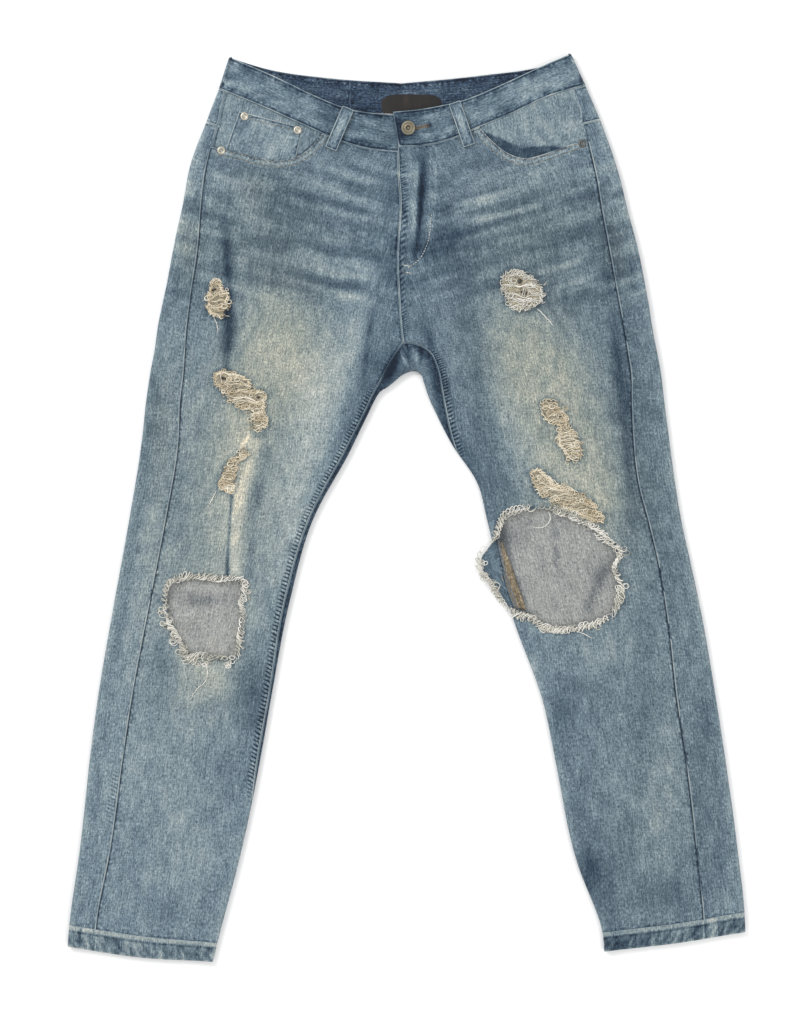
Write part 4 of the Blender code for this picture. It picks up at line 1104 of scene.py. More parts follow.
# At the outseam the front's rim is moved onto the dark groove of the seam profile and darkened further, as
# painted shade where it laps over the back.
DARK_RIM, RIM_SHADE = 1.3 * MM, 0.42
FLY_STITCH_GAP = 3.2
INSEAM_LADDER = (0.8, 2.0, 6.0, 10.0)       # millimetres from the seam
INSEAM_TICKS = {"right": (-0.350, -0.310, 0.120, 0.150), "left": (0.030, 0.080, 0.175, 0.190)}
RISE_TICKS, RISE_SHARE = (0.195, 0.205, 0.395, 0.415), 0.5
FLY_BLOBS, FLY_BLOB_STEP = (0.290, 0.310, 0.400, 0.415), 6.6 * MM


def within(bounds, value):
    """From 0 outside a range to 1 inside it, over its two soft ends."""
    return smoothstep(bounds[0], bounds[1], value) * smoothstep(bounds[3], bounds[2], value)


def front_rows(side):
    hem_at = knots_of(LEGS[side])[1]
    waist_at = knots_of(HIPS[side])[-1]
    legs, hips, leg_end = rows_up(side, hem_at, waist_at)
    legs = np.concatenate([hem_at - TUCK[:2][::-1], legs])
    hips = np.concatenate([hips, waist_at + TUCK[:2]])
    rows = Rows()
    for at in legs:
        ring = leg_ring(side, at)
        rows.add(ring, spread(ring.outseam, ring.front_end, FRONT_CELLS), at)
    for at in hips:
        ring = hip_ring(side, at)
        places = spread(ring.outseam, ring.front_end, FRONT_CELLS)
        if side == "right":
            places = np.concatenate([places, ring.front_end + FLY_TUCK])
        rows.add(ring, places, leg_end + at)
    return rows, hem_at, leg_end + waist_at


def make_front(side):
    rows, hem_at, waist_at = front_rows(side)
    place, up = rows.place(), rows.up()
    from_outseam = place - rows.of_ring("outseam")
    from_front = rows.of_ring("front_end") - place
    seam = np.min([from_outseam + DARK_RIM, np.abs(from_front), np.abs(up - hem_at), np.abs(waist_at - up)],
                  axis=0)
    past = np.maximum(hem_at - up, up - waist_at)
    edge = np.minimum(from_outseam, from_front)
    if side == "right":
        past = np.maximum(past, -from_front)
        edge = np.minimum(from_outseam, from_front + NO_SEAM * (up > CROTCH))
    inset = tucked(past) - rolled(edge)
    cloth = painted_panel(rows, inset, seam, side, flip=side == "left")
    x, y = cloth.points[:, 0], cloth.points[:, 1]

    ticked = within(INSEAM_TICKS[side], y)
    if side == "left":
        ticked = np.maximum(ticked, RISE_SHARE * within(RISE_TICKS, y))
        strip = bell(from_front - 6.5 * MM, 3.5 * MM) * within(FLY_BLOBS, y)
        beat = np.sin(2 * math.pi * (y + 2 * MM * noise(x, y, 0.012, 71)) / FLY_BLOB_STEP)
        cloth.paint["wash"] -= 0.24 * strip * smoothstep(-0.2, 0.9, beat)
    cloth.paint["ladder"] = within(INSEAM_LADDER, from_front / MM) * ticked
    # Painted shade along the front's rim at the outseam.
    cloth.paint["wash"] -= RIM_SHADE * bell(from_outseam, 1.1 * MM) * (1 + 0.5 * noise(x, y, 0.02, 77))
    mouth, _ = distance_to_line(x, y, mouth_line(side))
    torn = cloth.paint["torn"]
    # Painted shadow round each tear and worn patch.
    cloth.paint["wash"] -= TEAR_SHADE * bell(torn - 1.5, 3.0)
    lifted = bell(torn, 3.2) * (0.7 + 0.7 * noise(x, y, 0.009, 21)) - 0.4 * bell(torn, 1.0)
    hemmed = smoothstep(11 * MM, 9 * MM, mouth) * smoothstep(0, 0.6 * MM, mouth)
    cloth.points[:, 2] += (lifted + 0.45 * hemmed) * MM
    cloth.paint["wash"] += MOUTH_PALE * smoothstep(8.5 * MM, 6.5 * MM, mouth)
    # The pocket mouth's edge gets the seam profile, with its dark groove as painted shade.
    cloth.paint["seam"] = np.minimum(cloth.paint["seam"], mouth / MM + MOUTH_RIM[side])
    stitch = np.min([np.abs(mouth / MM - gap) for gap in MOUTH_STITCHES], axis=0)
    if side == "left":
        fly, _ = distance_to_line(x, y, curve(J_STITCH, 24))
        stitch = np.minimum(stitch, np.abs(fly / MM - FLY_STITCH_GAP / 2))
    cloth.paint["stitch"] = stitch
    CLOTHS["front_" + side] = cloth

    cloth = clipped(cloth, signed_distance(cloth.points[:, 0], cloth.points[:, 1], mouth_outline(side)))
    knee = signed_distance(cloth.points[:, 0], cloth.points[:, 1], KNEE_LINES[side])
    cloth = clipped(cloth, np.maximum(knee, FOLD_RADIUS - cloth.points[:, 2]))
    for px, py, radius in PINHOLES[side]:
        x, y = cloth.points[:, 0], cloth.points[:, 1]
        away = np.hypot((x - px) * 0.75, (y - py) * 1.35) - radius * (1 + 0.5 * noise(x, y, 0.004, 31))
        cloth = clipped(cloth, np.maximum(away, FOLD_RADIUS - cloth.points[:, 2]))
    return sewn("front_" + side, cloth, DENIM, [OUTSIDE, WRONG_SIDE], inner=1)


OUTSIDE = denim("denim_outside", INDIGO_STOPS)
WRONG_SIDE = denim("denim_wrong_side", WRONG_STOPS, tone=0.14, grain=0.95, sides=False)
for side in SIDES:
    make_front(side)

# %% [markdown]
# ## The backs and yokes
#
# A back is wider than a front: it comes round both folds, so a strip of it shows along each outseam from
# above. Its top is cut off at the yoke, which is what shapes the seat of jeans without darts.

# %% Backs and yokes
MARGIN_CELLS, FOLD_CELLS, UNDER_CELLS, TURN_CELLS = 11, 9, 46, 6
INSEAM_STRIP = 0.24
RIDGE_END, RIDGE_WIDTH, RIDGE_GROWTH = 3.5 * MM, 1.9 * MM, 0.55
RIDGE_WORN = {"right": 0.5, "left": 0.1}
OUTSEAM_LADDER = (1.5, 3.0, 9.0, 14.0)
OUTSEAM_SHADE = {"right": -0.13, "left": -0.06}
OUTSEAM_TICKS = (-0.380, -0.350, -0.320, -0.290)


def back_places(ring, is_leg, side):
    """Places from the outseam on top, round the outer fold, and underneath to the inseam or the seat seam."""
    margin = spread(ring.outseam, QUARTER, MARGIN_CELLS, fine_high=False)
    outer = np.linspace(QUARTER, -QUARTER, FOLD_CELLS + 1)[1:]
    head = np.concatenate([ring.outseam + TUCK[::-1], margin, outer])
    if not is_leg:
        tail = spread(-QUARTER, -ring.back_end, UNDER_CELLS, fine_low=False)[1:]
        return np.concatenate([head, tail] + ([-ring.back_end - TUCK] if side == "right" else []))
    turn = min(ring.back_end - 0.004, ring.under_length - QUARTER)
    under = spread(-QUARTER, -turn, UNDER_CELLS, fine_low=False)[1:]
    inner = spread(-turn, -ring.back_end, TURN_CELLS, fine_low=False)[1:]
    return np.concatenate([head, under, inner, -ring.back_end - TUCK])


def make_back(side, yoke):
    """The back of one leg, or its yoke."""
    hem_at, leg_end = knots_of(LEGS[side])[[1, -1]]
    yoke_at, waist_at = knots_of(HIPS[side])[[YOKE_ROW, -1]]
    rows = Rows()
    if yoke:
        hips = np.concatenate([spread(yoke_at, waist_at, 10), waist_at + TUCK[:2]])
    else:
        legs, hips, _ = rows_up(side, hem_at, yoke_at)
        hips = np.concatenate([hips, yoke_at + TUCK])
        for at in np.concatenate([hem_at - TUCK[:2][::-1], legs]):
            ring = leg_ring(side, at)
            rows.add(ring, back_places(ring, True, side), at)
    for at in hips:
        ring = hip_ring(side, at)
        rows.add(ring, back_places(ring, False, side), leg_end + at)
    place, up = rows.place(), rows.up()
    past_outseam = place - rows.of_ring("outseam")
    past_end = -place - rows.of_ring("back_end")
    top = leg_end + (waist_at if yoke else yoke_at)
    low = leg_end + yoke_at if yoke else hem_at
    seat_tuck = past_end if side == "right" else np.where(up > leg_end, -NO_SEAM, past_end)
    past = np.max([past_outseam, seat_tuck, up - top, hem_at - up], axis=0)
    ridge = np.abs(past_outseam)
    worn = smoothstep(0.8, 0.1, noise(up, 0 * up, 0.030, 78) - RIDGE_WORN[side])
    ridge = RIDGE_GROWTH * ridge + RIDGE_END * np.maximum(ridge > RIDGE_WIDTH, 1 - worn)
    seam = np.min([ridge, np.abs(past_end), np.abs(up - low), np.abs(top - up)], axis=0)
    edge = np.abs(up - low) if yoke else np.full(len(up), NO_SEAM)
    cloth = painted_panel(rows, tucked(past) - rolled(edge), seam, side, flip=side == "right", torn=False)
    # Painted shade on the back along the outseam, where it goes in under the front's edge.
    cloth.paint["wash"] += OUTSEAM_SHADE[side] * bell(past_outseam, 1.7 * MM)
    if not yoke:
        cloth.paint["wash"] -= INSEAM_STRIP * smoothstep(0.016, 0.006, np.abs(past_end)) * (up < leg_end)
    if side == "right":
        beside = within(OUTSEAM_LADDER, -past_outseam / MM)
        cloth.paint["ladder"] = 0.4 * beside * within(OUTSEAM_TICKS, cloth.points[:, 1])
    cloth.paint["stitch"] = np.minimum(cloth.paint["stitch"], np.abs(edge / MM - 2.0))
    return sewn(("yoke_" if yoke else "back_") + side, cloth, DENIM, [OUTSIDE, WRONG_SIDE], inner=1)


for yoke in (False, True):
    for side in SIDES:
        make_back(side, yoke)

# %% [markdown]
# ## Hems
#
# The end of each leg is turned up twice and sewn round. Washing draws the stitching in, so the hem ripples
# into slanting ropes with pale crests. It is a closed ring of thicker cloth, with its upper edge over the
# leg.

# %% Hems
HEM_OVER = 0.6 * MM
WRAP = 0.6 * MM
HEM_PALE = 4.6     # millimetres from the upper edge
HEM_BLOCK, HEM_BLOCK_TONE = (18, 16), {"right": 0.08, "left": 0.16}
HEM_DARK = {"right": 0.06, "left": 0.09}


def make_hem(side):
    hem_at = knots_of(LEGS[side])[1]
    top = hem_at + HEM_OVER
    rows, pattern = Rows(), []
    for at in spread(0, top, 9):
        ring = leg_ring(side, at)
        over, under = ring.top_length, ring.under_length
        front = np.concatenate([np.linspace(-QUARTER, QUARTER, 9),
                                np.linspace(QUARTER, over - QUARTER, 92)[1:],
                                np.linspace(over - QUARTER, over + QUARTER, 9)[1:]])
        below = np.linspace(QUARTER - under, -QUARTER - WRAP, 50)[1:]
        rows.add(ring, np.concatenate([front, below]), at)
        pattern.append(np.concatenate([front, over + under + below]))
    up = rows.up()
    across = np.concatenate(pattern)
    edge = np.minimum(up, top - up)
    from_top = (top - up) / MM
    ropes = noise(across + 0.4 * up, 0.4 * up, 0.0034, 41) * smoothstep(HEM_PALE, HEM_PALE + 2, from_top)
    rope = 0.30 * MM * ropes * smoothstep(0, 0.004, up)
    plain = np.full(len(up), NO_SEAM * MM)
    cloth = painted_panel(rows, 0.10 * MM - rolled(edge) - rope, plain, side, flip=side == "left", torn=False)
    cloth.pattern[:, 0] = across
    crossing = (rows.of_ring("outseam") - across) / MM
    block = smoothstep(2, 3, crossing) * smoothstep(*HEM_BLOCK, crossing)
    # At the outseam's crossing a pale line, with painted shadow beside it and round the pale block.
    crossing_lines_and_shade = bell(crossing, 0.8) - bell(crossing - 2.4, 1.2) - 0.8 * bell(crossing - HEM_BLOCK[0], 1.3)
    crests = 0.22 * smoothstep(HEM_PALE + 0.8, HEM_PALE - 0.8, from_top) + 0.20 * ropes
    # A pale worn rim at the bottom, and a line of painted shadow under the pale upper edge.
    rims_and_shadow = 0.12 * smoothstep(2.2, 0.8, up / MM) - 0.20 * bell(from_top - HEM_PALE - 1.6, 1.0)
    cloth.paint["wash"] += crests + rims_and_shadow + HEM_BLOCK_TONE[side] * block + 0.22 * crossing_lines_and_shade - HEM_DARK[side]
    cloth.paint["warm"] = np.full(len(up), 0.25)
    width = len(rows.places[0])
    last = np.arange(len(rows.places) - 1) * width
    wrap = np.stack([last + width - 1, last, last + width, last + 2 * width - 1], -1)
    cloth.faces += (wrap[:, ::-1] if side == "left" else wrap).tolist()
    return sewn("hem_" + side, cloth, HEM, [OUTSIDE, WRONG_SIDE], inner=1)


for side in SIDES:
    make_hem(side)

# %% [markdown]
# ## The waistband
#
# One strip of doubled cloth goes round from its hidden end under the button, behind the seat, and back to
# the buttoned end. The back of it lies lower on the table, so its inside shows above the front: less
# washed, and so a deeper blue. Its warp runs along the strip, and the pattern place follows it.

# %% Waistband
BAND_STEP = 0.0026
BAND_ROWS, BAND_DEPTH = 12, 0.042
TURN_STEPS = 11             # stations round each end of the band
BAND_RADIUS = FOLD_RADIUS + BAND_PROUD / 2
BAND_JOIN = -0.066      # a seam across the inside of the band


def stations(table):
    """Stations through a table, about one step apart."""
    return spline(table, knots_of(table), np.arange(0, knots_of(table)[-1] + BAND_STEP / 2, BAND_STEP))


def band_strip():
    """Every station in order, with the side it turns round and its angle: 90 on top, -90 underneath."""
    front = {side: stations(BAND_FRONT[side]) for side in BAND_FRONT}
    back = {side: stations(BAND_BACK[side]) for side in BAND_BACK}
    hidden = stations(BAND_FRONT["right"][-1:] + (BAND_END,))
    turn = np.linspace(90, -90, TURN_STEPS)
    strip = [(row, 0, 90) for row in hidden[:0:-1]] + [(row, 0, 90) for row in front["right"][:0:-1]]
    strip += [(front["right"][0], 1, angle) for angle in turn]
    strip += [(row, 0, -90) for row in back["right"][1:]] + [(row, 0, -90) for row in back["left"][-2:0:-1]]
    strip += [(front["left"][0], -1, angle) for angle in turn[::-1]]
    strip += [(row, 0, 90) for row in front["left"][1:]]
    return strip, len(hidden) + len(front["right"])


def make_waistband():
    strip, first_turn = band_strip()
    share = spread(0, BAND_DEPTH, BAND_ROWS) / BAND_DEPTH
    table = np.array([row for row, _, _ in strip])
    sign = np.array([s for _, s, _ in strip], float)[:, None]
    angle = np.radians([a for _, _, a in strip])[:, None]
    lower, upper = table[:, :2], table[:, 2:]
    flat = lower[:, None] + (upper - lower)[:, None] * share[None, :, None]
    width = np.linalg.norm(upper - lower, axis=1)[:, None] * np.ones_like(share)
    middle = flat[:, len(share) // 2].copy()
    middle[:, 0] += (sign * (FOLD_RADIUS - BAND_RADIUS * np.cos(angle)))[:, 0]
    rise = (BAND_RADIUS * np.sin(angle))[:, 0]
    run = lengths_along(np.column_stack([middle, rise * (sign[:, 0] != 0)]))[:, None] + 0 * share
    order = np.arange(len(strip))[:, None] + 0 * share
    x, y = flat[..., 0], flat[..., 1]
    across = share * width
    edge = np.minimum(across, width - across)
    left_end = run.max() - run
    edge = np.minimum(edge, left_end)
    joined = np.where(order > first_turn + TURN_STEPS, np.abs(x - BAND_JOIN), NO_SEAM)
    hidden = (order < first_turn) * UNDERLAP * smoothstep(-0.036, -0.021, x)
    over = top_height(x, y) + BAND_PROUD - hidden + rolled(edge)
    under = under_height(x, y) + 0.3 * MM
    turned = floor_height(y) + BAND_RADIUS + BAND_RADIUS * np.sin(angle)
    z = np.where(sign != 0, turned, np.where(angle > 0, over, under))
    x = x + sign * (FOLD_RADIUS - BAND_RADIUS * np.cos(angle))
    tone, warm = wash(x, y, FADES_SHADE_AND_LIGHT_TOP, (), 11)
    ropes = noise(run + 0.6 * across, across, 0.007, 51)
    blotches = clouds(0.4 * run, across, 0.010, 52)
    # Darker within about a centimetre of both edges and paler in the middle.
    paler_middle = smoothstep(0.003, 0.012, edge) - 0.6
    tone = tone + 0.20 * blotches + 0.14 * ropes * smoothstep(0.018, 0.002, edge) + 0.15 * paler_middle
    cloth = Cloth(np.stack([x, y, z], -1).reshape(-1, 3), grid_faces([len(share)] * len(strip), flip=False),
                  np.stack([across, run], -1).reshape(-1, 2), wash=tone, warm=0.4 * warm,
                  seam=np.minimum(edge, joined) / MM, stitch=np.abs(edge / MM - 2.4))
    return sewn("waistband", cloth, BAND, [OUTSIDE, BAND_INSIDE], inner=1)


BAND_INSIDE = denim("denim_inside_band", INNER_BAND_STOPS, tone=-0.05, grain=1.8)
make_waistband()

# %% [markdown]
# ## Pocket pieces and belt loops
#
# The facing is the cloth seen in a pocket mouth, and the coin pocket is sewn on the right one. Both are
# plain pieces that follow the front from underneath. A belt loop is a narrow strip turned in at both ends,
# sewn above and below the waistband with a bar of close stitches.

# %% Pockets and loops
FACING_TUCK, FACING_LEAN = 0.004, 0.19
COIN_CORNERS = places((-195, 463), (-121, 444), (-131, 400), (-214, 410))
COIN_DEPTH, COIN_STITCHES = DENIM + GAP, (2.0, 5.5)
COIN_WIDTH, COIN_HEIGHT = 0.074, 0.046
# The darker lines beside the coin pocket's edges are painted shade.
COIN_RIMS = (0.5 * MM, 0.2 * MM)        # added beside the pocket's sides and its top, for a darker line
FACING_DEPTH = {"right": COIN_DEPTH + DENIM, "left": DENIM + GAP}
GAP_DEPTH = {"right": 1.5 * MM, "left": 13 * MM}
GAP_MIDDLE, GAP_REACH = 0.136, 0.046
FACING_TONE = {"right": BASE_TONE + 0.06, "left": BASE_TONE + 0.08}


def patch(name, x, y, z, flip, wall, materials, slot="denim", inner=0, **paint):
    """A small piece of cloth from a grid of points, its pattern following its own rows and columns."""
    grid = np.stack([x, y, z], -1)
    rows, columns = x.shape
    across = np.linalg.norm(np.diff(grid, axis=1, prepend=grid[:, :1]), axis=2).cumsum(axis=1)
    up = np.linalg.norm(np.diff(grid, axis=0, prepend=grid[:1]), axis=2).cumsum(axis=0)
    cloth = Cloth(grid.reshape(-1, 3), grid_faces([columns] * rows, flip),
                  np.stack([across.ravel(), up.ravel()], -1), **paint)
    return sewn(name, cloth, wall, materials, inner)


def make_facing(side):
    sign = SIGN[side]
    mouth = MOUTHS[side][np.argsort(sign * MOUTHS[side][:, 0])]
    band = curve([row[:2] for row in BAND_FRONT[side]], 60)
    reach = np.linspace(abs(mouth[0][0]) - 0.014, abs(mouth[-1][0]) + FACING_TUCK, 60)[None, :]
    share = np.linspace(0, 1, 60)[None, :]
    low = np.interp(reach, sign * mouth[:, 0], mouth[:, 1])
    high = np.interp(reach - 0.010 * share, (sign * band[:, 0])[::-1], band[::-1, 1]) + 0.002
    rise = np.linspace(0, 1, 36)[:, None]
    y = low - 0.020 + (high - low + 0.020) * rise
    x = sign * (reach - FACING_LEAN * share * (y - low))
    slack = 0.5 * MM * clouds(x, y, 0.020, 61)
    from_mouth, _ = distance_to_line(x, y, mouth_line(side))
    wrinkle = noise(x + 0.8 * sign * y, 0.3 * (y - sign * x), 0.011, 64)
    gap = GAP_DEPTH[side] * np.clip(1 - ((reach - GAP_MIDDLE) / GAP_REACH) ** 2, 0, 1) + 0 * y
    # The band along the pocket mouth is painted shadow where the facing goes down into the pocket: its tone
    # drops and the cloth dips a little.
    shade = smoothstep(gap + 1.5 * MM, gap - 1.0 * MM, from_mouth)
    z = top_height(x, y) - FACING_DEPTH[side] + slack + 0.4 * MM * wrinkle - 0.8 * MM * shade
    tone = FACING_TONE[side] + 0.09 * clouds(x, y, 0.013, 62) + 0.06 * wrinkle - 0.32 * shade
    return patch("pocket_facing_" + side, x, y, z, sign > 0, 1.0 * MM, [OUTSIDE], "pocket_cloth", wash=tone,
                 warm=0.15)


def make_coin_pocket():
    top_left, top_right, low_right, low_left = COIN_CORNERS
    across = (spread(0, COIN_WIDTH, 22) / COIN_WIDTH)[None, :, None]
    rise = (spread(0, COIN_HEIGHT, 14) / COIN_HEIGHT)[:, None, None]
    flat = (low_left + (low_right - low_left) * across) * (1 - rise)
    flat = flat + (top_left + (top_right - top_left) * across) * rise
    x, y = flat[..., 0], flat[..., 1]
    sides = np.minimum(across, 1 - across)[..., 0] * COIN_WIDTH + 0 * x
    top = (1 - rise)[..., 0] * COIN_HEIGHT + 0 * x
    edge = np.minimum(sides, top)
    z = top_height(x, y) - COIN_DEPTH + rolled(edge) + 0.25 * MM
    stitch = np.min([*(np.abs(top / MM - gap) for gap in COIN_STITCHES), np.abs(sides / MM - 2.0)], axis=0)
    tone = BASE_TONE + 0.07 + 0.12 * clouds(x, y, 0.015, 63)
    # Painted shade: a darker line beside the pocket's sides and top.
    rim = np.minimum(sides + COIN_RIMS[0], top + COIN_RIMS[1])
    return patch("coin_pocket", x, y, z, False, 1.0 * MM, [OUTSIDE], wash=tone, warm=0.1, seam=rim / MM,
                 stitch=stitch)


LOOP_WIDTH, LOOP_BOW = 0.013, 1.3 * MM
LOOP_STITCH, LOOP_TACK, LOOP_RIM = 2.2, 2.0, 1.7
LOOPS = {
    "loop_front_right": places((-68, 465.5), (-88, 419)),
    "loop_front_left": places((56, 472), (73, 423)),
    "loop_back_right": places((-151, 507), (-160, 461)),
    "loop_back_centre": places((-6, 494.5), (-6, 446)),
    "loop_back_left": places((141, 510), (150, 464)),
}


def make_loop(name):
    """A belt loop, bowed over the band in front, or pressed flat under it behind."""
    top, foot = LOOPS[name]
    length = np.linalg.norm(foot - top)
    aim = (foot - top) / length
    side = np.array([-aim[1], aim[0]])
    down = spread(0, length, 16)[:, None]
    across = (spread(0, LOOP_WIDTH, 4) - LOOP_WIDTH / 2)[None, :]
    x = top[0] + aim[0] * down + side[0] * across
    y = top[1] + aim[1] * down + side[1] * across
    ends = np.minimum(down, length - down) + 0 * across
    edge = np.minimum(LOOP_WIDTH / 2 - np.abs(across), ends)
    bow = np.sin(np.clip(down / length, 0, 1) * math.pi) ** 0.7
    in_front = "front" in name
    if in_front:
        z = top_height(x, y) + BAND_PROUD + GAP + DENIM + LOOP_BOW * bow + 0.6 * rolled(edge)
    else:
        z = DENIM + 0.1 * MM - 0.4 * np.minimum(rolled(edge), 0) + 0 * x
    tone = BASE_TONE + 0.02 + 0.16 * bow**3 * bell(across, 0.004) + 0 * x
    side_stitch = np.abs((LOOP_WIDTH / 2 - np.abs(across)) / MM - LOOP_STITCH)
    stitch = np.minimum(side_stitch, np.abs(ends / MM - LOOP_TACK))
    return patch(name, x, y, z, not in_front, DENIM, [OUTSIDE], wash=tone, seam=LOOP_RIM * edge / MM,
                 stitch=stitch)


for side in SIDES:
    make_facing(side)
make_coin_pocket()
loops = {name: make_loop(name) for name in LOOPS}

# %% [markdown]
# ## Back pockets
#
# Each is one piece of cloth with five corners, its top turned down and its other edges turned in, sewn to
# the seat with two rows. A grid clipped by the outline keeps the pattern straight however the corners run.

# %% Back pockets
POCKET_WIDTH, POCKET_HEIGHT, POCKET_POINT = 0.145, 0.160, 0.022
POCKETS = {"right": (-0.110, 0.318, -6), "left": (0.108, 0.318, 6)}
POCKET_CELL = 0.0026
POCKET_ROWS, POCKET_HEM = (2.0, 8.0), 14.0      # rows of stitches, in millimetres from the edge and the top


def pocket_corners(inset):
    """The corners of a back pocket round its own middle, or of a row of stitches this far inside it."""
    half, foot = POCKET_WIDTH / 2 - inset, -POCKET_HEIGHT / 2
    shoulder = foot + POCKET_POINT + inset * 0.4
    return np.array([(-half, -foot), (-half * 0.86, shoulder), (0, foot + inset), (half * 0.86, shoulder),
                     (half, -foot)])


def to_world(u, v, side):
    """Places on a back pocket, from its own middle, moved to where it lies."""
    x0, y0, degrees = POCKETS[side]
    spin = math.radians(degrees)
    return x0 + u * math.cos(spin) - v * math.sin(spin), y0 + u * math.sin(spin) + v * math.cos(spin)


def make_back_pocket(side):
    half, foot = POCKET_WIDTH / 2, -POCKET_HEIGHT / 2
    outline = pocket_corners(0)
    u, v = np.meshgrid(np.arange(-half, half + POCKET_CELL, POCKET_CELL),
                       np.arange(foot, -foot + POCKET_CELL, POCKET_CELL))
    away = -signed_distance(u, v, outline)
    from_top = -foot - v
    sides = np.minimum(away, distance_to_line(u, v, outline)[0])
    x, y = to_world(u, v, side)
    z = 0.35 * MM + 0.25 * MM * clouds(x, y, 0.03, 71) - 0.5 * np.clip(rolled(np.abs(away)), -1, 1)
    stitch = np.min([*(np.abs(sides / MM - gap) for gap in POCKET_ROWS), np.abs(from_top / MM - POCKET_HEM)],
                    axis=0)
    fade = np.exp(-((u / (0.5 * half)) ** 2 + ((v + 0.01) / (0.6 * half)) ** 2))
    tone = BASE_TONE + 0.05 + 0.12 * fade + 0.05 * clouds(x, y, 0.03, 72)
    cloth = Cloth(np.stack([x, y, np.maximum(z, 0.1 * MM)], -1).reshape(-1, 3),
                  grid_faces([u.shape[1]] * u.shape[0], flip=True), np.stack([u.ravel(), v.ravel()], -1),
                  wash=tone, warm=0.3 * fade, seam=np.abs(away) / MM, stitch=stitch)
    return sewn("back_pocket_" + side, clipped(cloth, away.ravel()), DENIM - 0.2 * MM, [OUTSIDE])


for side in POCKETS:
    make_back_pocket(side)

# %% [markdown]
# ## Metal: button and rivets
#
# Both are turned shapes. Each starts as a flat disc, and its edge is extruded and resized ring by ring, as
# one draws a profile, then smoothed. The button is antique brass: bright where it rubs, nearly black in its
# hollows. The rivets are small domes with a ring and a sunk centre.

# %% Metal
def clear_selection():
    bpy.ops.object.select_all(action="DESELECT")


def placed(made, name, materials):
    """Gives a modelled piece its name, finish and ride, with its place moved into its mesh."""
    made.name = made.data.name = name
    bpy.context.view_layer.update()
    made.data.transform(made.matrix_world)
    made.matrix_world.identity()
    for material in materials:
        made.data.materials.append(material)
    ride_for(made, name)
    return made


def turned(name, profile, centre, segments, material, slot):
    """A turned piece from a profile of (radius, height) rings, first and last closed by a face."""
    clear_selection()
    x, y, z = centre
    radius, height = profile[0]
    bpy.ops.mesh.primitive_circle_add(vertices=segments, radius=radius, fill_type="NGON",
                                      location=(x, y, z + height))
    made = bpy.context.object
    bpy.ops.object.mode_set(mode="EDIT")
    for wider, higher in profile[1:]:
        bpy.ops.mesh.extrude_region_move(TRANSFORM_OT_translate={"value": (0, 0, higher - height)})
        ratio = wider / radius
        bpy.ops.transform.resize(value=(ratio, ratio, 1), center_override=(x, y, z + higher))
        radius, height = wider, higher
    bpy.ops.mesh.select_all(action="SELECT")
    bpy.ops.mesh.normals_make_consistent(inside=False)
    bpy.ops.object.mode_set(mode="OBJECT")
    bpy.ops.object.shade_smooth_by_angle(angle=math.radians(35))
    return placed(made, name, [material])


def centre_of(node):
    low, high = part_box(node)
    return (low.x + high.x) / 2, (low.y + high.y) / 2


def worn_metal(name, bright, dark, roughness, hollow):
    """Metal that is bright on its crests, with dark dirt in its hollows and a little scratching."""
    n = Nodes(name)
    place = n.place()
    stain = n.plus(n.noise(place, 0.0014, 4, 0.65), 0.5)
    ao = n.add("ShaderNodeAmbientOcclusion", samples=8)
    ao.inputs["Distance"].default_value = 0.0016
    clean = n.span(n.plus(ao.outputs["AO"], n.times(stain, 0.30)), hollow, hollow + 0.45)
    colour = n.blend(clean, dark, bright)
    rough = n.span(stain, 0.25, 0.75, roughness - 0.10, roughness + 0.15)
    n.bump(stain, 0.25, 0.0002)
    return n.done(colour, rough, metallic=0.85)


BRASS = worn_metal("antique_brass", dyed(158, 150, 130), dyed(26, 25, 25), 0.46, 0.80)
NICKEL = worn_metal("rivet_metal", dyed(196, 192, 178), dyed(52, 50, 46), 0.42, 0.74)
DULL_NICKEL = worn_metal("dull_rivet_metal", dyed(108, 112, 110), dyed(34, 38, 42), 0.48, 0.78)


def on_top(x, y, lift):
    """A point this far over the front."""
    return x, y, float(top_height(np.array([x]), np.array([y]))[0]) + lift


# Each row is a share of the radius and a height in tenths of a millimetre.
BUTTON_PROFILE = (
    (0.42, 0), (0.46, 10), (0.9, 13), (1, 19), (0.99, 26), (0.93, 31), (0.84, 32), (0.78, 29),
    (0.72, 25), (0.58, 25), (0.52, 29), (0.44, 31), (0.36, 29), (0.31, 22), (0.27, 13), (0.1, 12))
RIVET_PROFILE = (
    (1, 0), (1, 3), (0.94, 7), (0.82, 10), (0.66, 11), (0.55, 9), (0.48, 5), (0.4, 2), (0.26, 1), (0.1, 3))


def profile_of(name, table):
    radius = (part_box(name)[1].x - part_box(name)[0].x) / 2
    return [(radius * share, height / 10000) for share, height in table]


def make_button():
    place = on_top(*centre_of("button"), BAND_PROUD + 0.2 * MM)
    return turned("button", profile_of("button", BUTTON_PROFILE), place, 48, BRASS, "antique_brass")


def make_rivet(name):
    sunk = COIN_DEPTH - 0.4 * MM if "coin" in name else 0
    place = on_top(*centre_of(name), 0.3 * MM - sunk)
    finish = DULL_NICKEL if name == "rivet_pocket_left" else NICKEL
    return turned(name, profile_of(name, RIVET_PROFILE), place, 28, finish, "rivet_metal")


button = make_button()
RIVETS = ("rivet_coin_outer", "rivet_coin_inner", "rivet_pocket_right", "rivet_pocket_left")
for name in RIVETS:
    make_rivet(name)

# %% [markdown]
# ## The label
#
# A blank patch of dark leather inside the back of the waistband: a box, subdivided, bent along its length
# and rounded at its edges.

# %% Label
LABEL_CORNER = 0.017


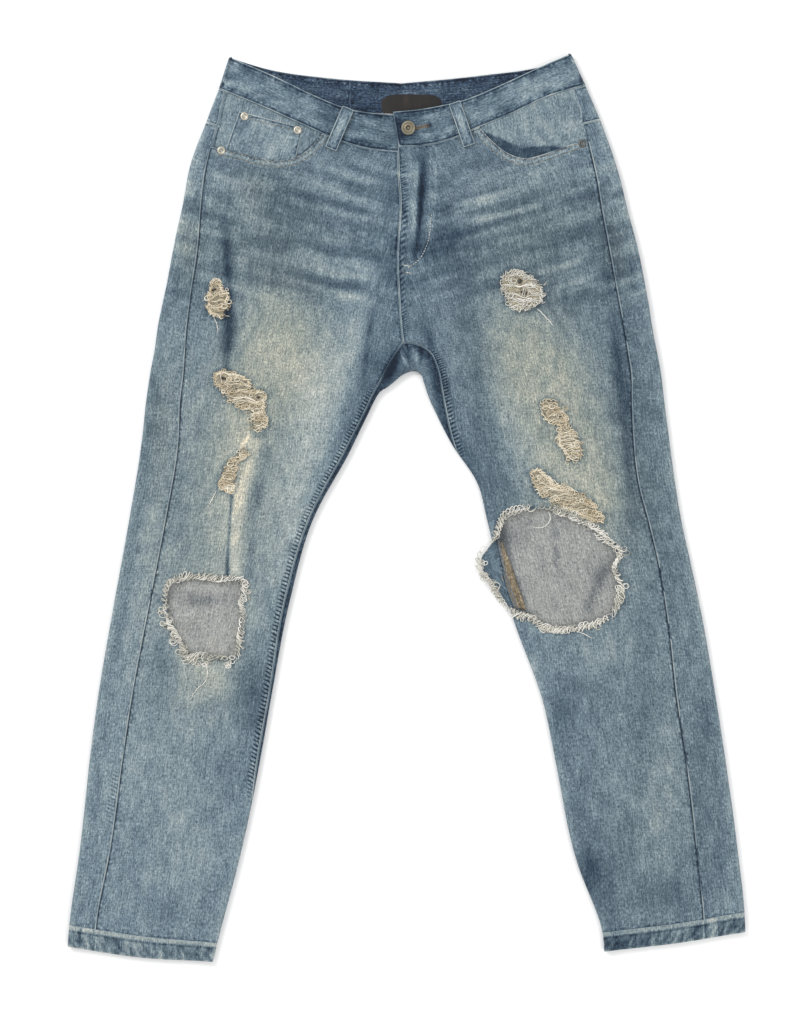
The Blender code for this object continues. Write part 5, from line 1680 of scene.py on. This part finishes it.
def make_label():
    low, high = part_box("label")
    clear_selection()
    bpy.ops.mesh.primitive_grid_add(x_subdivisions=28, y_subdivisions=10, size=1)
    made = bpy.context.object
    made.scale = (high.x - low.x, high.y - low.y, 1)
    made.location = ((low.x + high.x) / 2, (low.y + high.y) / 2, 0)
    label = placed(made, "label", [LEATHER])
    for vertex in label.data.vertices:
        x, y = vertex.co.x, vertex.co.y
        middle = (low.y + high.y) / 2
        corner = max(LABEL_CORNER - min(x - low.x, high.x - x), 0) / LABEL_CORNER
        vertex.co.y = middle + (y - middle) * math.sqrt(1 - 0.75 * corner**2)
        bent = 0.25 * MM * math.sin((x - low.x) / (high.x - low.x) * 7.3)
        vertex.co.z = low.z + 0.9 * MM + bent - 0.5 * MM * corner**3
    solidify = label.modifiers.new("wall", "SOLIDIFY")
    solidify.thickness = 0.8 * MM
    solidify.offset = -1
    bevel = label.modifiers.new("edge", "BEVEL")
    bevel.width = 0.25 * MM
    bevel.segments = 2
    bevel.angle_limit = math.radians(50)
    return label


def leather():
    n = Nodes("label_leather")
    place = n.place()
    stretched = n.add("ShaderNodeMapping")
    n.link(place, stretched.inputs["Vector"])
    stretched.inputs["Scale"].default_value = (1, 0.22, 1)
    sheen_band = n.noise(stretched.outputs[0], 0.009, 3, 0.6)
    pores = n.add("ShaderNodeTexVoronoi")
    n.link(place, pores.inputs["Vector"])
    pores.inputs["Scale"].default_value = 1100
    level = n.plus(n.times(sheen_band, 1.3), n.times(pores.outputs["Distance"], 0.35))
    colour = n.ramp(n.plus(level, 0.30), dyes((0, 18, 17, 17), (0.5, 30, 27, 26), (0.8, 44, 37, 34),
                                              (1, 70, 58, 52)))
    n.bump(pores.outputs["Distance"], 0.35, 0.0003)
    return n.done(colour, 0.62, specular=0.35)


LEATHER = leather()
label = make_label()

# %% [markdown]
# ## Threads
#
# Stitches, fray and the tangles on the worn patches are all cotton thread. A stitch is one small bead of
# thread, modelled once and copied along each seam. A loose thread is a thin tube of three sides along a
# wandering line; each gets its own shade of cream from a value painted on it. The random numbers are
# seeded.

# %% Thread
rng = np.random.default_rng(7)


def thread_finish(name, stops):
    n = Nodes(name)
    place = n.place()
    fuzz = n.noise(place, 0.0009, 3, 0.7)
    colour = n.ramp(n.plus(n.painted("tone"), n.times(fuzz, 0.5)), stops)
    n.bump(fuzz, 0.4, 0.0003)
    return n.done(colour, 0.95, sheen=0.15, specular=0.15)


class Threads:
    """Many thin tubes as one mesh."""

    def __init__(self, name):
        self.name, self.points, self.faces, self.tones = name, [], [], []

    def add(self, line, radius, tone):
        """A tube of three sides along a line of points, thinner at both ends."""
        line = np.asarray(line, float)
        aims = np.gradient(line, axis=0)
        aims /= np.linalg.norm(aims, axis=1)[:, None] + 1e-12
        side = np.cross(aims, (0.13, 0.21, 0.97))
        side /= np.linalg.norm(side, axis=1)[:, None] + 1e-12
        up = np.cross(side, aims)
        run = np.linspace(0, 1, len(line))
        width = radius * np.clip(3.2 * np.minimum(run, run[::-1]) + 0.35, 0, 1)
        first = sum(len(part) for part in self.points)
        for turn in range(3):
            angle = 2 * math.pi * turn / 3
            offset = side * math.cos(angle) + up * math.sin(angle)
            self.points.append(line + offset * width[:, None])
        count = len(line)
        for turn in range(3):
            here, there = first + turn * count, first + (turn + 1) % 3 * count
            step = np.arange(count - 1)
            ring = [here + step, here + step + 1, there + step + 1, there + step]
            self.faces += np.stack(ring, -1).tolist()
        self.faces.append([first, first + count, first + 2 * count])
        self.faces.append([first + 3 * count - 1, first + 2 * count - 1, first + count - 1])
        self.tones.append(np.full(3 * count, tone))

    def lay(self, flat, lift, radius, tone):
        """A thread along flat places, this far above the top layer."""
        rise = quick_height(flat[:, 0], flat[:, 1]) + lift
        self.add(np.column_stack([flat, rise]), radius, tone)

    def build(self, material):
        made = make_object(self.name, np.concatenate(self.points), self.faces, [material])
        tones = np.concatenate(self.tones).astype(np.float32)
        made.data.attributes.new("tone", "FLOAT", "POINT").data.foreach_set("value", tones)
        print(f"{self.name}: {len(self.points)} parts, {len(self.faces)} faces")
        return made


def frame_along(line):
    """Unit directions along a closed line, and across it towards its inside."""
    aims = np.roll(line, -1, axis=0) - np.roll(line, 1, axis=0)
    aims /= np.linalg.norm(aims, axis=1)[:, None]
    across = np.stack([-aims[:, 1], aims[:, 0]], -1)
    middle = line.mean(axis=0)
    if ((middle - line) * across).sum() < 0:
        across = -across
    return aims, across


def at_fraction(values, share):
    """Rows of a closed line's values at shares of the way round."""
    closed = np.concatenate([values, values[:1]])
    place = np.mod(share, 1) * len(values)
    low = np.floor(place).astype(int)
    part = (place - low)[:, None]
    return closed[low] * (1 - part) + closed[low + 1] * part


def drift(count, size):
    """A value that wanders slowly about 0."""
    knots = rng.normal(0, size, count // 8 + 2)
    return np.interp(np.linspace(0, len(knots) - 1, count), np.arange(len(knots)), knots)


def curl(threads, x, y, size, radius):
    """One broken thread curled up on the cloth."""
    turns = rng.uniform(0.8, 2.4)
    phase = np.linspace(0, turns * 2 * math.pi, int(9 * turns) + 5) + rng.uniform(0, 6)
    slide = np.outer(phase - phase[0], rng.normal(0, 0.00018, 2))
    wide = size * (1 + 0.3 * np.sin(phase * 0.7))
    x = x + wide * np.cos(phase) + slide[:, 0]
    y = y + 0.8 * wide * np.sin(phase) + slide[:, 1]
    lift = 0.5 * MM + 0.4 * size * (1 + np.sin(phase * 0.5))
    threads.lay(np.column_stack([x, y]), lift, radius, rng.uniform(0.25, 1.0))


def fray_ring(threads, line, coils, ends, swings, inward):
    """Ropes of thread wound along a torn edge, and short curled ends that stand out from it."""
    aims, across = frame_along(line)
    length = lengths_along(np.concatenate([line, line[:1]]))[-1]
    for _ in range(int(coils * length)):
        run = rng.uniform(0.010, 0.040)
        turns = run / rng.uniform(0.0036, 0.0068)
        count = max(8, int(turns * 8))
        share = np.linspace(0, 1, count)
        at = rng.random() + share * run / length
        phase = rng.uniform(0, 6.28) + share * turns * 2 * math.pi + drift(count, 0.6)
        swing = rng.uniform(*swings) * np.maximum(0.3, 1 + drift(count, 0.35))
        reach = inward + rng.normal(0, 0.5 * swings[1]) + swing * np.cos(phase)
        flat = at_fraction(line, at) + at_fraction(across, at) * reach[:, None]
        flat += at_fraction(aims, at) * (0.8 * swing * np.sin(phase * 0.9 + 1))[:, None]
        lift = 0.4 * MM + 0.45 * swing * (1 + np.sin(phase))
        threads.lay(flat, lift, rng.uniform(0.44, 0.76) * MM, rng.uniform(0.25, 1.0))
    for _ in range(int(ends * length)):
        at = np.array([rng.random()])
        spot, out, along_it = (at_fraction(values, at)[0] for values in (line, across, aims))
        size, lean, bend = rng.uniform(0.002, 0.009), rng.normal(math.pi, 1.3), rng.normal(0, 4.0)
        share = np.linspace(0, 1, 7)
        angle = lean + bend * share
        steps = np.outer(np.cos(angle), out) + np.outer(np.sin(angle), along_it)
        flat = spot + np.cumsum(steps, axis=0) * size / 7
        lift = 0.3 * MM + rng.uniform(0, 1.0) * MM * np.sin(share * 2.6)
        threads.lay(flat, lift, rng.uniform(0.18, 0.34) * MM, rng.uniform(0.2, 1.0))


def wander(threads, points):
    """One long loose thread through a few points."""
    flat = curve(points, 12 * len(points))
    flat = flat + rng.normal(0, 0.4 * MM, flat.shape)
    threads.lay(flat, 0.7 * MM, 0.52 * MM, 0.9)


def patch_tangle(threads, line, weft, curls, eyes):
    """Weft threads across a worn patch, which bow apart round its small holes, and curls of broken ones."""
    low, high = line.min(axis=0), line.max(axis=0)
    for _ in range(weft):
        y = rng.uniform(low[1] + 0.001, high[1] - 0.001)
        crossing = [p[0] + (y - p[1]) * (q[0] - p[0]) / (q[1] - p[1])
                    for p, q in zip(line, np.roll(line, -1, axis=0)) if (p[1] > y) != (q[1] > y)]
        if len(crossing) < 2:
            continue
        left, right = min(crossing) - rng.uniform(-0.001, 0.002), max(crossing) + rng.uniform(-0.001, 0.002)
        if rng.random() < 0.35:
            left += (right - left) * rng.uniform(0.2, 0.5)
        share = np.linspace(0, 1, 16)
        x = left + (right - left) * share
        bow = rng.normal(0.0010, 0.0022) * np.sin(share * math.pi)
        y = y + bow + 0.0022 * noise(x, y + 0 * x, 0.007, 83) + rng.normal(0, 0.0005) * np.sin(share * 12)
        for eye_x, eye_y, radius in eyes:
            off = y - eye_y
            close = np.exp(-(((x - eye_x) / (2.2 * radius)) ** 2) - (off / (2.0 * radius)) ** 2)
            y = y + np.where(off > 0, 1, -1) * 1.9 * radius * close
        lift = abs(rng.normal(0, 0.0005)) * np.sin(share * math.pi) + 0.25 * MM
        threads.lay(np.column_stack([x, y]), lift, rng.uniform(0.36, 0.60) * MM, rng.uniform(0.2, 1.1))
    for _ in range(curls):
        spot = line[rng.integers(len(line))] * 0.75 + line.mean(axis=0) * 0.25 + rng.normal(0, 0.003, 2)
        if any(math.hypot(spot[0] - eye[0], spot[1] - eye[1]) < 1.6 * eye[2] for eye in eyes):
            continue
        curl(threads, *spot, rng.uniform(0.0012, 0.0034), rng.uniform(0.34, 0.56) * MM)


COTTON = thread_finish("torn_cotton", COTTON_STOPS)
CREAM = thread_finish("torn_cream", PEACH_STOPS)
TAN = thread_finish("tan_thread", TAN_STOPS)
LONG_THREADS = {
    "right": (places((-238, -175), (-232, -190), (-235, -203), (-244, -211), (-253, -224)),
              places((-224, 222), (-221, 214), (-220, 205)),
              places((-222, 20), (-229, 6), (-232, 0))),
    "left": (places((165, -2), (168, -12), (162, -21), (152, -23), (145, -21)),
              places((152, 233), (162, 223), (172, 212)),
              places((186, -139), (203, -145), (217, -152))),
}
TUFTS = {
    "right": places(
        (-284, -120), (-280, -132), (-272, -152), (-262, -166), (-188, -90), (-186, -102), (-250, -180),
        (-232, -180), (-206, -181)),
    "left": places(
        (86, -66), (90, -78), (180, -4), (196, -8), (214, -18), (252, -52), (250, -94), (160, -139),
        (175, -142), (224, -133)),
}
CURLS_IN_TUFT = 7
WHITE_PATCH = ("left", 0)
for side in SIDES:
    ring = Threads("fray_knee_" + side)
    fray_ring(ring, KNEE_LINES[side], 185, 200, (0.0010, 0.0032), -0.0014)
    for x, y in TUFTS[side]:
        for _ in range(CURLS_IN_TUFT):
            curl(ring, x + rng.normal(0, 0.0028), y + rng.normal(0, 0.0028), rng.uniform(0.0012, 0.0036),
                 rng.uniform(0.38, 0.60) * MM)
    for points in LONG_THREADS[side]:
        wander(ring, points)
    tangle = Threads("torn_threads_" + side)
    for number, line in enumerate(PATCH_LINES[side]):
        threads = ring if (side, number) == WHITE_PATCH else tangle
        extent = np.ptp(line, axis=0)
        patch_tangle(threads, line, int(extent[1] / 0.0019), int(extent.sum() / 0.0028), PINHOLES[side])
        fray_ring(threads, line, 95, 150, (0.0006, 0.0019), 0.0008)
    ring.build(COTTON)
    tangle.build(CREAM)

# %% [markdown]
# ## Inside the left knee
#
# The tear on the left leg reaches its inner fold. A tongue of the front is pulled out there past the fold,
# and behind it the seam allowance of the inseam shows, with its zigzag of tan overlocking. Both are narrow
# strips between two lines of points.

# %% Knee lip and overlocked allowance
LIP_OUTER = places((104, -36), (95, -48), (88, -58), (88, -69), (100, -85), (112, -106), (122, -118))
LIP_INNER = places((110.6, -38.6), (112.9, -60.8), (116.4, -84.2), (122.3, -104), (127, -115.8))
ALLOWANCE = places((112, -42), (115.2, -50), (122.3, -66.7), (129.3, -87.8), (136.3, -107.6), (139.8, -119.3))
LIP_ROWS, LIP_COLUMNS = 40, 9
LIP_TONE = BASE_TONE - 0.04
OVERLOCK_TURNS = 44


def strip_between(outer, inner):
    """A grid of flat places between two lines."""
    share = np.linspace(0, 1, LIP_COLUMNS)[None, :, None]
    return curve(outer, LIP_ROWS)[:, None] * (1 - share) + curve(inner, LIP_ROWS)[:, None] * share


def make_lip():
    flat = strip_between(LIP_OUTER, LIP_INNER)
    x, y = flat[..., 0], flat[..., 1]
    fold = np.interp(y, EDGES[-1][:, 1], EDGES[-1][:, 0])
    z = 3.9 * MM + 1.1 * MM * smoothstep(0, 8 * MM, fold - x) - 2.0 * MM * smoothstep(0, 4 * MM, x - fold)
    seam = np.hypot(*(flat - flat[:, -1:]).transpose(2, 0, 1))
    torn = np.hypot(*(flat - flat[:, :1]).transpose(2, 0, 1)) / MM
    tone = LIP_TONE + 0.06 * clouds(x, y, 0.012, 91)
    return patch("knee_lip_left", x, y, z, True, DENIM, [OUTSIDE, WRONG_SIDE], inner=1, wash=tone,
                 seam=seam / MM, torn=torn)


def make_allowance():
    flat = strip_between(LIP_INNER, ALLOWANCE)
    x, y = flat[..., 0], flat[..., 1]
    across = np.linspace(-1, 1, LIP_COLUMNS)[None, :]
    z = under_height(x, y) + DENIM + 0.5 * MM + 0.5 * MM * (1 - across**2)
    tone = 0.44 + 0.14 * clouds(x, y, 0.006, 92)
    patch("seam_allowance_left", x, y, z, False, 0.8 * MM, [OVERLOCKED], wash=tone)
    overlock = Threads("overlock_left")
    inner, outer = (curve(line, OVERLOCK_TURNS) for line in (LIP_INNER, ALLOWANCE))
    for first, tint in ((0, 0.75), (1, 0.35)):
        zigzag = np.where(np.arange(OVERLOCK_TURNS)[:, None] % 2 == first, inner * 0.85 + outer * 0.15, outer)
        rise = under_height(*zigzag.T) + DENIM + 1.0 * MM
        overlock.add(np.column_stack([zigzag, rise])[1:], 0.42 * MM, tint)
    return overlock.build(TAN)


OVERLOCKED = denim("overlocked_edge", TAN_STOPS, grain=1.6, sides=False)
make_lip()
overlock = make_allowance()

# %% [markdown]
# ## Stitches
#
# One bead of thread is a squashed ball, pulled longer in edit mode. Every row of stitches is a line of
# points and the copies are laid along it, each turned the way that the line runs.

# %% Stitches
STITCH_LENGTH, STITCH_STEP = 2.5 * MM, 3.3 * MM


def stitch_bead():
    """Points and faces of one stitch, lying along X."""
    clear_selection()
    bpy.ops.mesh.primitive_uv_sphere_add(segments=6, ring_count=4, radius=0.5)
    bead = bpy.context.object
    bpy.ops.object.mode_set(mode="EDIT")
    bpy.ops.transform.rotate(value=math.radians(90), orient_axis="Y", center_override=(0, 0, 0))
    bpy.ops.transform.resize(value=(STITCH_LENGTH, 0.75 * MM, 0.60 * MM), center_override=(0, 0, 0))
    bpy.ops.object.mode_set(mode="OBJECT")
    points = np.array([vertex.co for vertex in bead.data.vertices])
    faces = [list(face.vertices) for face in bead.data.polygons]
    bpy.data.objects.remove(bead)
    return points, faces


class Stitches(Threads):
    def row(self, line, height, step=STITCH_STEP, size=1.0):
        """Stitches along a line of points, at the height that a function gives for each."""
        line = np.asarray(line, float)
        length = lengths_along(line)[-1]
        middles = np.arange(step / 2, length, step)
        start, end = along(line, middles - 0.4 * step), along(line, middles + 0.4 * step)
        for a, b in zip(start, end):
            if np.hypot(*(b - a)) < 0.1 * step:
                continue
            middle = (a + b) / 2
            heights = [float(height(*np.array(p)[:, None])[0]) for p in (a, b)]
            aim = np.array([*(b - a), heights[1] - heights[0]])
            aim /= np.linalg.norm(aim)
            side = np.cross((0, 0, 1), aim)
            side /= np.linalg.norm(side)
            turn = np.stack([aim, side, np.cross(aim, side)])
            first = len(self.points) * len(BEAD[0])
            self.points.append(BEAD[0] * size @ turn + (*middle, sum(heights) / 2))
            self.faces += [[first + i for i in face] for face in BEAD[1]]
            self.tones.append(np.full(len(BEAD[0]), rng.uniform(0.1, 0.9)))


BEAD = stitch_bead()


def offset_line(line, distance):
    """A line of points moved sideways."""
    aims = np.gradient(line, axis=0)
    aims /= np.linalg.norm(aims, axis=1)[:, None]
    return line + np.stack([-aims[:, 1], aims[:, 0]], -1) * distance


def over(lift):
    """Height of stitches over the top layer."""
    return lambda x, y: quick_height(x, y) + lift


def beneath(x, y):
    """Height of stitches on the pieces under the seat, just clear of the table."""
    return np.full(np.shape(x), 0.30 * MM)


MOUTH_LIFT = 0.55 * MM
BAR_TACKS = (0.2835, 0.2755)
top_rows = Stitches("stitches_top")
for side in SIDES:
    mouth = curve(MOUTHS[side], 60)
    for gap in MOUTH_STITCHES:
        top_rows.row(offset_line(mouth, SIGN[side] * gap * MM), over(MOUTH_LIFT), size=1.15)
top_left, top_right, low_right, low_left = COIN_CORNERS
down = (low_left - top_left) / np.linalg.norm(low_left - top_left)
for gap in COIN_STITCHES:
    ends = [top_left + down * gap * MM, top_right + down * gap * MM]
    top_rows.row(ends, over(0.35 * MM - COIN_DEPTH))
pale_rows = Stitches("stitches_fly")
pale_rows.row(curve(J_STITCH, 60)[30:], over(0.10 * MM), size=0.9)
for y in BAR_TACKS:
    pale_rows.row([(-0.005, y), (0.007, y - 0.002)], over(0.45 * MM), step=2.4 * MM, size=1.1)
seat_rows = Stitches("stitches_seat")
half, foot = POCKET_WIDTH / 2, -POCKET_HEIGHT / 2
for side in POCKETS:
    for gap in POCKET_ROWS:
        seat_rows.row(np.column_stack(to_world(*pocket_corners(gap * MM).T, side)), beneath)
    ends = np.array([2 * MM - half, half - 2 * MM])
    seat_rows.row(np.column_stack(to_world(ends, -foot - POCKET_HEM * MM + 0 * ends, side)), beneath)
stitches = [top_rows.build(TAN), seat_rows.build(TAN), pale_rows.build(COTTON)]


def make_buttonhole():
    """Close stitches round the buttonhole, as one zigzag for each lip."""
    start, end = BUTTONHOLE
    aim = (end - start) / np.linalg.norm(end - start)
    side = np.array([-aim[1], aim[0]])
    work = Threads("buttonhole")
    count = 34
    share = np.linspace(0, 1, count)[:, None]
    for lip in (-1, 1):
        swing = np.where(np.arange(count) % 2 == 0, 0.25 * MM, 2.0 * MM)[:, None]
        flat = start + (end - start) * share + side * lip * swing
        work.lay(flat, BAND_PROUD + 0.35 * MM, 0.38 * MM, 0.55)
    return work.build(BUTTONHOLE_THREAD)


BUTTONHOLE = places((8.5, 442.5), (26.5, 446.2))
BUTTONHOLE_THREAD = thread_finish("buttonhole_thread", dyes((0, 96, 76, 54), (0.5, 168, 140, 106),
                                                            (1, 206, 184, 152)))
buttonhole = make_buttonhole()

# %% [markdown]
# ## The zip
#
# Only its lower end could ever be seen, through the fly, so its solid stays. It gets worn brass teeth on a
# dark tape: bands along its length, which are bright metal on top and nearly black between.

# %% Zip
def zip_finish():
    n = Nodes("zip_teeth")
    place = n.place()
    teeth = n.add("ShaderNodeTexWave", wave_type="BANDS", bands_direction="Y")
    n.link(place, teeth.inputs["Vector"])
    teeth.inputs["Scale"].default_value = 2 * math.pi / 20 / (2 * MM)
    bright = n.span(teeth.outputs["Fac"], 0.35, 0.65)
    n.bump(teeth.outputs["Fac"], 0.5, 0.0004)
    return n.done(n.blend(bright, dyed(30, 30, 32), dyed(150, 128, 86)), 0.45, metallic=0.7)


zip_metal = zip_finish()
for material_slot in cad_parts["zip"].material_slots:
    material_slot.material = zip_metal
print("zip slots given a finish:", len(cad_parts["zip"].material_slots))

# %% [markdown]
# ## What each piece was cut from
#
# The size of each sheet's flat cut is printed. The pattern place of each point is already that
# flat cut in metres, so its extent gives the width and the length, and its faces give the area. What is
# folded into the seams is added all round.

# %% Flat cuts
def flat_cut(cloth, allowance):
    """Width, length and area of the flat cut of a cloth, with its seam allowances."""
    width, length = np.ptp(cloth.pattern, axis=0)
    area = 0.0
    for face in cloth.faces:
        u, v = cloth.pattern[face].T
        area += abs(np.dot(u, np.roll(v, -1)) - np.dot(v, np.roll(u, -1))) / 2
    area += 2 * allowance * (width + length)
    width, length = width + 2 * allowance, length + 2 * allowance
    return (float(width), float(length)), min(float(area), float(width * length))


LIES_ON = {
    "front_right": "back_right", "front_left": "back_left front_right", "back_right": "back_pocket_right",
    "back_left": "back_pocket_left", "yoke_right": "floor", "yoke_left": "floor",
    "waistband": "yoke_right yoke_left", "hem_right": "floor", "hem_left": "floor",
    "pocket_facing_right": "back_right", "pocket_facing_left": "back_left",
    "coin_pocket": "pocket_facing_right", "back_pocket_right": "floor", "back_pocket_left": "floor",
    "loop_front_right": "waistband", "loop_front_left": "waistband", "loop_back_right": "floor",
    "loop_back_centre": "floor", "loop_back_left": "floor", "knee_lip_left": "back_left",
    "seam_allowance_left": "back_left",
}
ALLOWANCES = {"front": 15 * MM, "back_pocket": 8 * MM, "back_": 15 * MM, "yoke": 6 * MM, "waist": 0, "hem": 0,
              "loop": 0, "knee": 0, "seam_": 0}
for name, under in LIES_ON.items():
    margin = next((size for start, size in ALLOWANCES.items() if name.startswith(start)), 4 * MM)
    flat, area = flat_cut(CLOTHS[name], margin)
    print(f"{name}: cut {flat[0] / MM:.0f} x {flat[1] / MM:.0f} mm, {area * 1e4:.0f} square cm")

# %% [markdown]
# ## Camera, lamps and floor
#
# The pair is looked at from straight above, as it lies. A studio would use a pale sheet of paper and two
# big soft lamps: a key from the upper left, which gives the folds their shade, and a weaker fill from the
# other side. The world is white, so that nothing turns black. The lens is worked out from the width that
# shows.

# %% Stage
camera_data = bpy.data.cameras.new("camera")
camera = bpy.data.objects.new("camera", camera_data)
bpy.context.scene.collection.objects.link(camera)
CAMERA_HEIGHT, VIEW_WIDTH = 2.6, 0.9313
camera.location = (-0.0099, -0.0047, CAMERA_HEIGHT)
camera_data.sensor_fit = "HORIZONTAL"
camera_data.sensor_width = 36
camera_data.lens = 36 * CAMERA_HEIGHT / VIEW_WIDTH
bpy.context.scene.camera = camera
bpy.context.scene.view_settings.view_transform = "Standard"

FLOOR = -1.1 * MM
mesh = bpy.data.meshes.new("floor")
mesh.from_pydata([(-3, -3, FLOOR), (3, -3, FLOOR), (3, 3, FLOOR), (-3, 3, FLOOR)], [], [(0, 1, 2, 3)])
floor = bpy.data.objects.new("floor", mesh)
bpy.context.scene.collection.objects.link(floor)
paper = Nodes("floor_paper")
floor.data.materials.append(paper.done((0.93, 0.93, 0.93, 1), 0.9, specular=0.0))

world = bpy.data.worlds.new("studio")
world.use_nodes = True
world.node_tree.nodes["Background"].inputs["Color"].default_value = (1, 1, 1, 1)
world.node_tree.nodes["Background"].inputs["Strength"].default_value = 0.80
bpy.context.scene.world = world


def lamp(name, x, y, z, size, power):
    data = bpy.data.lights.new(name, "AREA")
    data.size = size
    data.energy = power
    made = bpy.data.objects.new(name, data)
    made.location = (x, y, z)
    made.rotation_euler = (-made.location).to_track_quat("-Z", "Y").to_euler()
    bpy.context.scene.collection.objects.link(made)


lamp("key", -2.0, 1.9, 2.2, 1.6, 72)
lamp("fill", 2.2, -1.6, 2.6, 2.4, 40)
